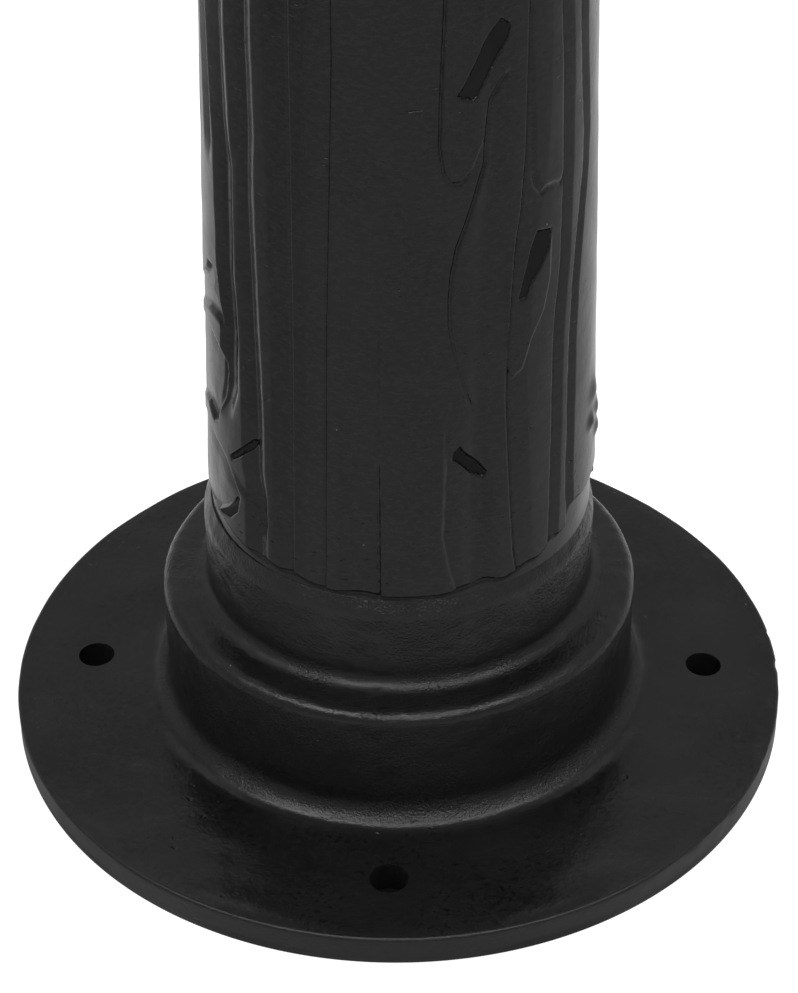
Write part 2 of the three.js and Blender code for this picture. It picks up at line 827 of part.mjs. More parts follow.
// Pitch radii of a pair that shares the wheel spacing
const pitchRadii = (small, large) => {
  const share = small / (small + large);
  return [wheelSpacing * share, wheelSpacing * (1 - share)];
};
const [cannonRadius, minuteWheelRadius] = pitchRadii(smallWheelTeeth, minuteWheelTeeth);
const [pinionRadius, hourWheelRadius] = pitchRadii(smallWheelTeeth, hourWheelTeeth);
const minuteWheelFront = minuteWheelBack + wheelThickness;
const hourWheelBack = minuteWheelFront + wheelGap;
const hourWheelFront = hourWheelBack + wheelThickness;
const frontPlateBack = movementFront - movementWall;

function minuteArborGeometry() {
  const arbor = rod(arborRadius, movementBack + coverThickness + arborSeat / 2, minuteArborEnd);
  const pinion = prism(toothed(smallWheelTeeth, cannonRadius, 0), wheelThickness);
  return join(arbor, pinion.translate(0, 0, minuteWheelBack));
}

function hourWheelGeometry() {
  const halfTooth = Math.PI / hourWheelTeeth;
  const wheel = prism(toothed(hourWheelTeeth, hourWheelRadius, halfTooth), wheelThickness);
  const pipe = rod(pipeRadius, hourWheelBack, hourPipeEnd);
  const bore = rod(pipeBoreRadius, movementBack, minuteArborEnd);
  return cut(join(wheel.translate(0, 0, hourWheelBack), pipe), bore);
}

// The wheel that carries the setting knob, above the middle arbor
function minuteWheelGeometry() {
  const halfTooth = Math.PI / minuteWheelTeeth;
  const wheel = prism(toothed(minuteWheelTeeth, minuteWheelRadius, halfTooth), wheelThickness);
  const pinionStart = minuteWheelFront - arborSeat / 2;
  const pinion = prism(toothed(smallWheelTeeth, pinionRadius, 0), hourWheelFront + wheelGap - pinionStart);
  const arbor = rod(arborRadius, movementBack - settingKnobThickness, frontPlateBack - arborSeat / 2);
  return join(wheel.translate(0, 0, minuteWheelBack), pinion.translate(0, 0, pinionStart), arbor);
}

function movementCaseGeometry() {
  const half = movementWidth / 2;
  const bayTop = -movementBottom + movementWall + batteryBayHeight;
  const openBack = movementBack - overrun;
  const body = block([-half, -movementBottom, movementBack], [half, movementTop, movementFront]);
  const chamber = block(
    [-half + movementWall, bayTop + movementWall, openBack],
    [half - movementWall, movementTop - movementWall, frontPlateBack],
  );
  const bayHalf = batteryLength / 2 + seatGap;
  const bay = block([-bayHalf, -movementBottom + movementWall, openBack], [bayHalf, bayTop, frontPlateBack]);
  const bushEnd = movementFront + bushLength;
  const bushSegments = turnedSegments / 2;
  const bush = rod(bushRadius, hourWheelFront + wheelGap / 2, bushEnd, bushSegments);
  const bore = rod(bushBoreRadius, hourWheelFront, bushEnd + overrun, bushSegments);
  const bearing = rod(bearingRadius, frontPlateBack - bearingLength, movementFront);
  const bearingBore = rod(arborRadius + seatGap, movementBack, frontPlateBack);
  const place = (geometry) => geometry.translate(0, wheelSpacing, 0);
  return cut(join(cut(body, chamber, bay), bush, place(bearing)), bore, place(bearingBore));
}

function movementCoverGeometry() {
  const half = movementWidth / 2 - movementWall - seatGap;
  const bottom = -movementBottom + movementWall * 2 + batteryBayHeight + seatGap;
  const plate = block(
    [-half, bottom, movementBack],
    [half, movementTop - movementWall - seatGap, movementBack + coverThickness],
  );
  const inside = movementBack + coverThickness;
  const hole = rod(arborRadius + seatGap, movementBack - overrun, inside + overrun);
  const bearing = rod(bearingRadius, movementBack, inside + bearingLength);
  const bearingBore = rod(arborRadius + seatGap, inside, inside + bearingLength + overrun);
  return cut(join(plate, bearing), hole.translate(0, wheelSpacing, 0), bearingBore);
}

function settingKnobGeometry() {
  const front = movementBack - seatGap;
  return ringPlate(
    regular(smallSegments, settingKnobRadius),
    arborRadius + seatGap,
    front - settingKnobThickness,
    settingKnobThickness,
  ).translate(0, wheelSpacing, 0);
}

function batteryGeometry() {
  const half = batteryLength / 2;
  return turned(
    [
      [0, -half],
      [batteryRadius, -half],
      [batteryRadius, half - batteryNubLength],
      [batteryNubRadius, half - batteryNubLength],
      [batteryNubRadius, half],
      [0, half],
    ],
    smallSegments,
  )
    .rotateY(Math.PI / 2)
    .translate(
      0,
      -movementBottom + movementWall + batteryRadius + seatGap,
      frontPlateBack - batteryRadius - seatGap,
    );
}

// A spade-tipped hand along +Y from its hub, with a tail
function handGeometry(length, width, holeRadius, level) {
  const spadeBase = length * handSpadeShares[0];
  const spadeWide = length * handSpadeShares[1];
  const spadeEnd = length * handSpadeShares[2];
  const outline = [
    [0, length],
    [-handTipWidth / 2, spadeEnd],
    [-width / 2, spadeWide],
    [-handTipWidth, spadeBase],
    [-width / 3, handHubRadius / 2],
    [-width / 3, -handHubRadius / 2],
    [-width / 2, -handTailLength],
    [width / 2, -handTailLength],
    [width / 3, -handHubRadius / 2],
    [width / 3, handHubRadius / 2],
    [handTipWidth, spadeBase],
    [width / 2, spadeWide],
    [handTipWidth / 2, spadeEnd],
  ].map(([x, y]) => new THREE.Vector2(x, y));
  const blade = prism(outline, handThickness);
  const hub = prism(regular(smallSegments * 2, handHubRadius), handThickness);
  const hole = rod(holeRadius, -overrun, handThickness + overrun);
  return cut(join(blade, hub), hole).translate(0, 0, level);
}

function handCapGeometry() {
  const seat = minuteHandLevel + handThickness + seatGap;
  const body = turned(
    [
      [0, seat],
      [handCapRadius, seat],
      [handCapRadius, seat + handCapHeight / 2],
      [handCapRadius / 2, seat + handCapHeight],
      [0, seat + handCapHeight],
    ],
    smallSegments,
  );
  return cut(body, rod(arborRadius + seatGap, seat - overrun, minuteArborEnd + seatGap));
}

function movementSet(end) {
  const group = new THREE.Group();
  const nut = ringPlate(hexagon(nutAcross), bushRadius + seatGap, dialFront + seatGap, nutHeight);
  group.add(
    piece("movement_case_" + end, movementCaseGeometry(), blackPlastic),
    piece("movement_cover_" + end, movementCoverGeometry(), palePlastic),
    piece("movement_nut_" + end, nut, brass),
    piece("battery_" + end, batteryGeometry(), batteryWrap),
    piece("minute_arbor_" + end, minuteArborGeometry(), brass),
    piece("hour_wheel_" + end, hourWheelGeometry(), palePlastic),
    piece("setting_knob_" + end, settingKnobGeometry(), palePlastic),
  );
  const wheel = piece("minute_wheel_" + end, minuteWheelGeometry(), palePlastic);
  wheel.position.y = wheelSpacing;
  group.add(wheel);
  return group;
}

function handSet(end) {
  const group = new THREE.Group();
  const hourTurn = -(2 * Math.PI * (hourShown + minutesShown / 60)) / 12;
  const minuteTurn = -(2 * Math.PI * minutesShown) / 60;
  const hour = handGeometry(hourHandLength, hourHandWidth, pipeRadius + seatGap, hourHandLevel);
  const minute = handGeometry(minuteHandLength, minuteHandWidth, arborRadius + seatGap, minuteHandLevel);
  const hourHand = piece("hour_hand_" + end, hour, handBlack);
  const minuteHand = piece("minute_hand_" + end, minute, handBlack);
  hourHand.rotation.z = hourTurn;
  minuteHand.rotation.z = minuteTurn;
  group.add(hourHand, minuteHand, piece("hand_cap_" + end, handCapGeometry(), brass));
  return group;
}

function bezelSet(end) {
  const group = new THREE.Group();
  const gasketFront = bezelLip - seatGap;
  const glassFront = gasketFront - gasketThickness - seatGap;
  const retainerFront = glassFront - glassThickness - seatGap;
  const glass = rod(glassRadius, glassFront - glassThickness, glassFront, faceSegments);
  const gasketBack = gasketFront - gasketThickness;
  const retainerBack = retainerFront - retainerThickness;
  const gasket = flatRing(glassRadius, glassRadius - gasketWidth, gasketBack, gasketThickness);
  const retainer = flatRing(glassRadius, glassRadius - retainerWidth, retainerBack, retainerThickness);
  const knob = piece("bezel_knob_" + end, knobGeometry(), brass);
  knob.position.set(-knobCircleRadius, 0, knobLevel());
  const catchFront = bezelBack - seatGap;
  const outer = -drumBoreFlat + seatGap * 2;
  const latch = block(
    [outer, -catchHeight / 2, catchFront - catchDepth],
    [outer + catchWidth, catchHeight / 2, catchFront],
  );
  group.add(
    piece("bezel_" + end, bezelGeometry(), drumPaint),
    piece("glass_" + end, glass, clearGlass),
    piece("glass_gasket_" + end, gasket, gasketRubber),
    piece("glass_ring_" + end, retainer, zincSteel),
    piece("hinge_pin_" + end, hingePinGeometry(), zincSteel),
    piece("bezel_catch_" + end, latch, blackPlastic),
    knob,
  );
  return group;
}

// Everything of one face, in the face frame
function faceSet(end) {
  const group = new THREE.Group();
  group.add(piece("dial_" + end, dialGeometry(), dialWhite), movementSet(end), handSet(end), bezelSet(end));
  dialScrewSpots().forEach((spot, i) => {
    const screw = piece("dial_screw_" + (i + 1) + "_" + end, dialScrewGeometry(), brass);
    screw.position.set(spot.x, spot.y, 0);
    group.add(screw);
  });
  return group;
}

// The head: drum, finial and both faces, turned so that the front face looks along -Y
function headSet() {
  const group = new THREE.Group();
  const upright = new THREE.Group();
  upright.rotation.x = Math.PI / 2;
  const rear = faceSet("rear");
  rear.rotation.y = Math.PI;
  const finialBolt = drumBoltGeometry(drumRadius + finialBoltReach - overrun);
  const caseBolt = drumBoltGeometry(drumSeatRadius + drumBoltGrip);
  const boltLeft = piece("case_bolt_left", caseBolt, zincSteel);
  const boltRight = piece("case_bolt_right", caseBolt.clone(), zincSteel);
  boltLeft.rotation.z = Math.PI - drumBoltAngle;
  boltRight.rotation.z = Math.PI + drumBoltAngle;
  upright.add(
    piece("clock_case", drumGeometry(), drumPaint),
    piece("finial", finialGeometry(), blackPaint),
    piece("finial_bolt", finialBolt, zincSteel),
    boltLeft,
    boltRight,
    faceSet("front"),
    rear,
  );
  group.add(upright);
  group.position.z = drumCentre;
  return group;
}

function postSet() {
  const group = new THREE.Group();
  const cap = piece("column_cap", capGeometry(), blackPaint);
  cap.position.z = capBottom;
  const post = piece("upper_post", upperPostGeometry(), blackPaint);
  post.position.z = postBottom;
  const ringLevel = capTop + (bracketBottom - capTop) * ringLevelShare;
  const ring = piece("post_ring", postRingGeometry(), blackPaint);
  ring.position.z = ringLevel;
  const screw = piece("post_ring_screw", ringScrewGeometry(), zincSteel);
  screw.position.z = ringLevel - ringHeight / 2 + ringHeight / 6;
  const bracket = piece("head_bracket", bracketGeometry(), blackPaint);
  bracket.position.z = bracketBottom;
  group.add(
    piece("base_flange", footGeometry(), blackPaint),
    piece("lower_column", lowerColumnGeometry(), blackPaint),
    cap,
    post,
    ring,
    screw,
    bracket,
  );
  return group;
}

const streetClock = new THREE.Group();
streetClock.add(postSet(), rodSet(), headSet());

export default streetClock;
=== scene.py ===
"""A two-faced street clock: its looks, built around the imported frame. Lengths are in millimetres."""

import json
import math

import bmesh
import bpy
import numpy as np
from mathutils import Matrix, Vector


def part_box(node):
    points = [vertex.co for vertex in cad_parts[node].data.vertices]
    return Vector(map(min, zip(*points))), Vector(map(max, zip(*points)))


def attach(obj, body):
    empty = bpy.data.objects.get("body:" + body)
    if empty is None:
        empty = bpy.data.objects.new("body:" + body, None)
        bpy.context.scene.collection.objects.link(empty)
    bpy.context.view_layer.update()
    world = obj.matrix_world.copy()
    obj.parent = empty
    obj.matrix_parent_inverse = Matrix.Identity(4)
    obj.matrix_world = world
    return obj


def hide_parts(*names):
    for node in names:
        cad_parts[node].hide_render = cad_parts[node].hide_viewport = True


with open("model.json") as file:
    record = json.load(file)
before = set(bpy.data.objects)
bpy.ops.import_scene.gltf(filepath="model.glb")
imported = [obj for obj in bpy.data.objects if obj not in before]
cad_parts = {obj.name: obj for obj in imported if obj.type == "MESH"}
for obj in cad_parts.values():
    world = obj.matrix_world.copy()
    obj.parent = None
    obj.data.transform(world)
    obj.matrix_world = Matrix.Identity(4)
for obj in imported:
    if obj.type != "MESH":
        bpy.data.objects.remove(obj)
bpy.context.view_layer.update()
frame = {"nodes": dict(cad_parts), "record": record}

MM = 0.001

# Foot
FOOT_RADIUS = 150.0
FOOT_THICKNESS = 12.0
HOLE_CIRCLE = 120.5
HOLE_RADIUS = 7.0
COLLAR_RADIUS = 90.5
COLLAR_TOP = 61.5
NECK_RADIUS = 73.3
NECK_TOP = 99.0
ROD_HOLE = 7.5
SEAM_ANGLE = -3.0
RADIAN = 57.3

# Lower column
COLUMN_BOTTOM = 99.3
COLUMN_TOP = 759.3
COLUMN_ENDS = (COLUMN_BOTTOM, COLUMN_TOP)
COLUMN_BOTTOM_RADIUS = 72.2
COLUMN_TOP_RADIUS = 48.5
COLUMN_BORE = (58.0, 39.5)
FLUTE_DEPTH = 1.9
FLUTE_HEIGHTS = (99.3, 211.5, 300.6, 759.3)
FIRST_FLUTE = (18.6, 17.5, 15.5, 15.5)
FLUTE_PITCH = (10.3, 10.8, 13.2, 13.2)
GOUGE_DEPTH = 2.0
# The photographed casting swells a little and isn't quite true to its axis
COLUMN_SWELL = 0.35
COLUMN_OFFSET = (0.79, 0.1)
DRAWN_TURN = 1.0

# Post and head
POST_ENDS = (825.9, 1730.9)
RING_MIDDLE = 1275.9
BRACKET_BOTTOM = 1696.2
DRUM_CENTRE = 2019.5
DRUM_RADIUS = 205.0
DIAL_BACK = 47.3
DIAL_FRONT = 50.3
ENDS = ("front", "rear")
FACE_SEGMENTS = 256

# Where a piece's own +Z turns to: the clock's front, the ring's screw, and the hinge pin on a face
TO_FRONT = Matrix.Rotation(math.pi / 2, 4, "X")
RING_SCREW = Matrix.Translation((0, 0, 1257.9 * MM)) @ Matrix.Rotation(-math.pi / 2, 4, "X")
PIN = Matrix.Translation((218.5 * MM, 0, 75 * MM)) @ Matrix.Rotation(-math.pi / 2, 4, "X")


# Materials


class Link:
    """A value that changes over a surface. Arithmetic on it adds Math nodes."""

    def __init__(self, finish, socket):
        self.finish = finish
        self.socket = socket

    def __add__(self, other):
        return self.finish.maths("ADD", self, other)

    def __radd__(self, other):
        return self.finish.maths("ADD", other, self)

    def __sub__(self, other):
        return self.finish.maths("SUBTRACT", self, other)

    def __rsub__(self, other):
        return self.finish.maths("SUBTRACT", other, self)

    def __mul__(self, other):
        return self.finish.maths("MULTIPLY", self, other)

    def __rmul__(self, other):
        return self.finish.maths("MULTIPLY", other, self)


class Finish:
    """A node tree in the making: of a material, or of the world."""

    def __init__(self, owner):
        self.owner = owner
        owner.use_nodes = True
        self.tree = owner.node_tree
        self.tree.nodes.clear()

    def node(self, kind, settings=None, sockets=None, result=0):
        """Adds a node: its settings first, then values or links of its sockets."""
        node = self.tree.nodes.new(kind)
        for name, value in (settings or {}).items():
            setattr(node, name, value)
        for name, value in (sockets or {}).items():
            if isinstance(value, Link):
                self.tree.links.new(value.socket, node.inputs[name])
            else:
                node.inputs[name].default_value = value
        return Link(self, node.outputs[result]) if len(node.outputs) else None

    def maths(self, operation, first, second):
        return self.node("ShaderNodeMath", {"operation": operation}, {0: first, 1: second})

    def point(self):
        """The point on the piece, in metres."""
        return self.node("ShaderNodeTexCoord", result="Object")

    def along(self, axis, point):
        return self.node("ShaderNodeSeparateXYZ", None, {"Vector": point}, axis)

    def ray(self, kind):
        return self.node("ShaderNodeLightPath", result=f"Is {kind} Ray")

    def place(self, stretch=(1.0, 1.0, 1.0)):
        """The point on the piece, stretched along each axis."""
        sockets = {0: self.point(), 1: stretch}
        return self.node("ShaderNodeVectorMath", {"operation": "MULTIPLY"}, sockets)

    def noise(self, size, detail=2.0, stretch=(1.0, 1.0, 1.0), roughness=0.5):
        """Cloudy noise with lumps of about a size in millimetres."""
        sockets = {"Vector": self.place(stretch), "Scale": 1 / (size * MM), "Detail": detail}
        sockets["Roughness"] = roughness
        return self.node("ShaderNodeTexNoise", None, sockets)

    def between(self, value, low, high, start=0.0, end=1.0):
        """A smooth change from start to end as a value goes from low to high."""
        sockets = {"Value": value, "From Min": low, "From Max": high, "To Min": start, "To Max": end}
        return self.node("ShaderNodeMapRange", {"interpolation_type": "SMOOTHSTEP"}, sockets)

    def specks(self, size, spacing, share):
        """Small dots of a size, one in each cell of a spacing for a share of the cells."""
        sockets = {"Vector": self.place(), "Scale": 1 / (spacing * MM)}
        cells = {"feature": "F1"}
        distance = self.node("ShaderNodeTexVoronoi", cells, sockets, "Distance")
        chance = self.node("ShaderNodeTexVoronoi", cells, sockets, "Color")
        chance = self.node("ShaderNodeSeparateColor", None, {"Color": chance}, "Red")
        dot = self.between(distance, size / spacing, 0.6 * size / spacing)
        return dot * self.maths("LESS_THAN", chance, share)

    def mix(self, first, second, factor):
        sockets = {"Factor": factor, 6: first, 7: second}
        return self.node("ShaderNodeMix", {"data_type": "RGBA"}, sockets, 2)

    def bump(self, height, depth, normal=None):
        """A bumpy normal from a height of 0 to 1 that stands for a depth in millimetres."""
        sockets = {"Height": height, "Distance": depth * MM, "Strength": 1.0}
        if normal is not None:
            sockets["Normal"] = normal
        return self.node("ShaderNodeBump", None, sockets)

    def surface(self, shader):
        self.node("ShaderNodeOutputMaterial", None, {"Surface": shader})
        return self.owner

    def plain(self, **sockets):
        """The finished surface, from the shader's sockets by their names with _ for a space."""
        named = {name.replace("_", " "): value for name, value in sockets.items()}
        return self.surface(self.node("ShaderNodeBsdfPrincipled", None, named))


def grey(level, warmth=0.0):
    return (level * (1 + warmth), level, level * (1 - warmth), 1.0)


def new_finish(name):
    return Finish(bpy.data.materials.new(name))


PAINT_GLOSS = 0.26
DUST_GREY = grey(0.2, 0.05)


def black_casting(name, mottle=0.0098, lumps=0.0):
    """Gloss black paint on a sand casting: grain, a few dents, dust and duller patches. With lumps it is
    the foot's: sandy walls above the plate, a worn shoulder, a dull rim and a lighter neck, a painted sheen."""
    finish = new_finish(name)
    grain = finish.noise(2.4, 3.0)
    fine = finish.noise(0.7)
    dents = finish.between(finish.noise(4.0, 1.0, (1.0, 1.0, 3.0)), 0.68, 0.78)
    dents = dents * finish.between(finish.noise(30.0, 1.0), 0.5, 0.62)
    patches = finish.noise(38.0, 3.0)
    dust = finish.specks(0.3, 10.0, 0.16)
    streaks = finish.noise(2.6, 3.0, (1.0, 1.0, 2.2), 0.6)
    stains = finish.between(finish.noise(2.2, 2.0, (1.0, 1.0, 2.4), 0.6), 0.56, 0.66)
    stains = stains * finish.between(finish.noise(24.0, 1.0), 0.4, 0.6)
    colour = finish.mix(grey(0.0036), grey(0.0056), finish.between(patches, 0.35, 0.65))
    colour = finish.mix(colour, grey(mottle), finish.between(streaks, 0.42, 0.66))
    colour = finish.mix(colour, grey(0.0008), stains)
    colour = finish.mix(colour, DUST_GREY, dust)
    normal = finish.bump(fine, 0.02)
    normal = finish.bump(grain, 0.08, normal)
    normal = finish.bump(1.0 - dents, 0.16, normal)
    roughness = finish.between(patches, 0.3, 0.7, 0.18, 0.26) + dust * 0.4
    if lumps:
        up = finish.along("Z", finish.point())

        def rising(low, high):
            """From 0 to 1 between two heights in millimetres."""
            return finish.between(up, low * MM, high * MM)

        rough_spots = finish.between(finish.noise(26.0), 0.35, 0.6, 0.25, 1.0)
        walls = rising(FOOT_THICKNESS + 0.5, FOOT_THICKNESS + 2.5)
        height = finish.noise(1.0, 2.5, roughness=0.6) * rough_spots * walls
        normal = finish.bump(height, lumps, normal)
        sparkle = finish.noise(0.55, 1.0) * finish.between(finish.noise(9.0, 1.0), 0.4, 0.6, 0.3, 1.0)
        normal = finish.bump(sparkle * walls, 0.12, normal)
        sandy = walls * rising(COLLAR_TOP + 16, COLLAR_TOP + 6)
        worn = rising(COLLAR_TOP - 6, COLLAR_TOP - 4) * rising(COLLAR_TOP + 0.4, COLLAR_TOP - 0.1)
        rim = rising(FOOT_THICKNESS - 0.02, FOOT_THICKNESS - 0.4)
        # The neck is mixed towards a lighter grey: a painted sheen, standing in for reflected light.
        neck = rising(COLLAR_TOP + 4, COLLAR_TOP + 12)
        colour = finish.mix(colour, grey(0.0133), neck * 0.6)
        roughness = roughness + sandy * 0.14 - worn * 0.14 + rim * 0.22
    return finish.plain(
        Base_Color=colour, Roughness=roughness, Specular_IOR_Level=PAINT_GLOSS, Normal=normal
    )


def smooth_paint(name, level=0.006, rough=0.3, gloss=PAINT_GLOSS):
    """Sprayed black paint on rolled or drawn metal, with a faint orange peel."""
    finish = new_finish(name)
    peel = finish.noise(1.6)
    patches = finish.noise(60.0, 3.0)
    dust = finish.specks(0.35, 14.0, 0.15)
    colour = finish.mix(grey(level * 0.8), grey(level * 1.25), finish.between(patches, 0.35, 0.65))
    colour = finish.mix(colour, DUST_GREY, dust)
    roughness = finish.between(patches, 0.3, 0.7, rough - 0.04, rough + 0.06) + dust * 0.4
    return finish.plain(
        Base_Color=colour, Roughness=roughness, Specular_IOR_Level=gloss, Normal=finish.bump(peel, 0.03)
    )


def bright_metal(name, dark, light, rough):
    """Bare or plated metal: fine grain, dull patches."""
    finish = new_finish(name)
    brushed = finish.noise(0.5)
    patches = finish.noise(6.0, 3.0)
    colour = finish.mix(dark, light, finish.between(patches, 0.3, 0.7))
    roughness = finish.between(patches, 0.3, 0.7, rough + 0.1, rough) + brushed * 0.08
    return finish.plain(
        Base_Color=colour, Roughness=roughness, Metallic=1.0, Normal=finish.bump(brushed, 0.01)
    )


def moulded(name, dark, light, rough, grain=0.02):
    """Moulded plastic or rubber with a light grain."""
    finish = new_finish(name)
    texture = finish.noise(0.6, 2.0)
    patches = finish.noise(12.0, 2.0)
    colour = finish.mix(dark, light, finish.between(patches, 0.3, 0.7))
    roughness = finish.between(patches, 0.3, 0.7, rough, rough + 0.08)
    return finish.plain(Base_Color=colour, Roughness=roughness, Normal=finish.bump(texture, grain))


def dial_enamel(name):
    """Stove enamel, warm white, a little aged in cloudy patches."""
    finish = new_finish(name)
    clouds = finish.noise(70.0, 4.0)
    peel = finish.noise(2.4, 2.0)
    spots = finish.specks(0.4, 22.0, 0.2)
    colour = finish.mix((0.80, 0.77, 0.69, 1.0), (0.74, 0.70, 0.60, 1.0), finish.between(clouds, 0.35, 0.7))
    colour = finish.mix(colour, (0.3, 0.24, 0.16, 1.0), spots * 0.6)
    roughness = finish.between(clouds, 0.3, 0.7, 0.3, 0.42)
    return finish.plain(Base_Color=colour, Roughness=roughness, Normal=finish.bump(peel, 0.02))


def clear_glass(name):
    """Clear plate glass: seen through, with a gloss that grows at a slant."""
    finish = new_finish(name)
    smears = finish.noise(45.0, 4.0)
    gloss = {"Color": grey(1.0), "Roughness": finish.between(smears, 0.4, 0.7, 0.02, 0.09)}
    gloss = finish.node("ShaderNodeBsdfGlossy", None, gloss)
    clear = finish.node("ShaderNodeBsdfTransparent", None, {"Color": (0.975, 0.985, 0.98, 1.0)})
    away = finish.node("ShaderNodeLayerWeight", None, {"Blend": 0.5}, "Facing")
    slant = 0.04 + 0.9 * finish.maths("POWER", away, 5.0)
    film = finish.between(smears, 0.5, 0.75, 0.0, 0.012)
    shader = finish.node("ShaderNodeMixShader", None, {0: slant + film, 1: clear, 2: gloss})
    return finish.surface(shader)


FOOT_IRON = black_casting("cast iron foot, black paint", 0.0068, 0.4)
# Dull black with almost no gloss, for the gouge floors: painted shade in the recesses.
GOUGE_SHADE_PAINT = smooth_paint("cast iron, gouge shade paint", 0.0125, 0.6, 0.04)
DRUM_PAINT = smooth_paint("drum, black paint")
DIAL_BLACK = moulded("dial, black enamel", grey(0.008), grey(0.012), 0.32)
FINISHES = {
    "black_iron": black_casting("cast iron, black paint"),
    "black_aluminium": black_casting("cast aluminium, black paint"),
    "black_steel": smooth_paint("post, black paint", 0.0055, 0.31),
    "zinc_steel": bright_metal("zinc plate", (0.42, 0.43, 0.44, 1), (0.62, 0.63, 0.65, 1), 0.3),
    "brass": bright_metal("brass", (0.46, 0.31, 0.1, 1), (0.66, 0.47, 0.17, 1), 0.24),
    "hand_black": smooth_paint("hands, black lacquer", 0.008, 0.34),
    "dial_white": dial_enamel("dial, white enamel"),
    "black_plastic": moulded("black plastic", grey(0.016), grey(0.024), 0.45, 0.04),
    "pale_plastic": moulded("pale plastic", (0.62, 0.6, 0.54, 1), (0.7, 0.68, 0.62, 1), 0.42),
    "black_rubber": moulded("black rubber", grey(0.014), grey(0.022), 0.7, 0.05),
    "glass": clear_glass("clear glass"),
}


# Shapes


def rounded(corners, steps=5):
    """A closed outline from (across, up, radius) corners, with each corner rounded off."""
    points = []
    for i, (across, up, radius) in enumerate(corners):
        here = np.array([across, up], float)
        before = np.array(corners[i - 1][:2], float) - here
        after = np.array(corners[(i + 1) % len(corners)][:2], float) - here
        length_before, length_after = np.linalg.norm(before), np.linalg.norm(after)
        before, after = before / length_before, after / length_after
        half = math.acos(float(np.clip(before @ after, -1, 1))) / 2
        if radius <= 0 or half > math.pi / 2 - 0.01:
            points.append(here)
            continue
        reach = min(radius / math.tan(half), length_before * 0.48, length_after * 0.48)
        used = reach * math.tan(half)
        middle = before + after
        centre = here + middle / np.linalg.norm(middle) * used / math.sin(half)
        first = here + before * reach - centre
        last = here + after * reach - centre
        start = math.atan2(first[1], first[0])
        turn = math.atan2(last[1], last[0]) - start
        turn = (turn + math.pi) % (2 * math.pi) - math.pi
        for step in range(steps + 1):
            angle = start + turn * step / steps
            points.append(centre + used * np.array([math.cos(angle), math.sin(angle)]))
    return np.array(points)


def finer(outline, length):
    """The same closed outline, with points no further apart than a length."""
    points = []
    for here, there in zip(outline, np.roll(outline, -1, 0)):
        count = max(1, math.ceil(np.linalg.norm(there - here) / length))
        points.extend(here + (there - here) * i / count for i in range(count))
    return np.array(points)


def ring_faces(rings, count):
    """Faces between rings of points. Each ring is closed, and the last is joined to the first."""
    ring = (np.arange(rings) * count)[:, None]
    following = np.roll(ring, -1, 0)
    point = np.arange(count)[None, :]
    after = (point + 1) % count
    corners = [ring + point, ring + after, following + after, following + point]
    return np.stack(corners, 2).reshape(-1, 4)


def outward(outline):
    """Normals of a closed outline that runs anticlockwise round its metal."""
    along = np.roll(outline, -1, 0) - np.roll(outline, 1, 0)
    normal = np.stack([along[:, 1], -along[:, 0]], 1)
    return normal / np.maximum(np.linalg.norm(normal, axis=1), 1e-9)[:, None]


def soften(piece, sharp=32.0):
    mesh = piece.data
    mesh.polygons.foreach_set("use_smooth", [True] * len(mesh.polygons))
    mesh.set_sharp_from_angle(angle=math.radians(sharp))
    return piece


def shown(name, mesh, sharp=32.0):
    """An object for a mesh, smooth but for edges sharper than an angle."""
    piece = bpy.data.objects.new(name, mesh)
    bpy.context.scene.collection.objects.link(piece)
    return soften(piece, sharp)


def mesh_of(name, points, faces, weld=False):
    """A mesh object from points in millimetres."""
    mesh = bpy.data.meshes.new(name)
    mesh.from_pydata((np.asarray(points) * MM).tolist(), [], [list(face) for face in faces])
    if weld:
        work = bmesh.new()
        work.from_mesh(mesh)
        bmesh.ops.remove_doubles(work, verts=work.verts, dist=1e-6)
        bmesh.ops.dissolve_degenerate(work, edges=work.edges, dist=1e-7)
        work.to_mesh(mesh)
        work.free()
    mesh.update()
    mesh.validate()
    return shown(name, mesh)


def turned_piece(name, corners, steps=4, segments=FACE_SEGMENTS, finest=None, shift=None):
    """A closed outline turned about Z. Its corners are rounded off, and its points are no further apart
    than the finest length. shift(points, normals) gives how far each point moves out."""
    outline = rounded(corners, steps)
    if finest:
        outline = finer(outline, finest)
    angle = np.arange(segments) * 2 * math.pi / segments
    spin = np.stack([np.sin(angle), -np.cos(angle)], 1)[:, None, :]

    def spun(flat):
        up = np.broadcast_to(flat[:, 1:], (segments, len(flat), 1))
        return np.concatenate([spin * flat[None, :, :1], up], 2).reshape(-1, 3)

    points = spun(outline)
    if shift:
        normals = spun(outward(outline))
        points = points + normals * shift(points, normals)[:, None]
    faces = np.roll(ring_faces(segments, len(outline))[:, ::-1], 1, 1)
    on_axis = outline[:, 0] < 1e-6
    kept = ~np.tile(on_axis & np.roll(on_axis, -1), segments)
    return mesh_of(name, points, faces[kept].tolist(), weld=bool(on_axis.any()))


def rod(radius, low, high, segments=48, edge=0.0):
    return turned_piece(
        "rod", [(0, low, 0), (radius, low, edge), (radius, high, edge), (0, high, 0)], 3, segments
    )


def bar(outline, low, high, edge=0.0):
    """A flat outline, drawn anticlockwise, pushed up, with small worn edges."""
    outline = np.asarray(outline, float)
    levels = [(low, edge), (low + edge, 0), (high - edge, 0), (high, edge)]
    if not edge:
        levels = [(low, 0), (high, 0)]
    count, top = len(outline), len(levels) - 1
    normal = outward(outline)
    points = [np.column_stack([outline - normal * inset, np.full(count, level)]) for level, inset in levels]
    ends = [list(range(count))[::-1], list(range(top * count, (top + 1) * count))]
    sides = ring_faces(top + 1, count)[:-count].tolist()
    return mesh_of("bar", np.concatenate(points), ends + sides)


def block(left, low, right, high):
    return [(left, low), (right, low), (right, high), (left, high)]


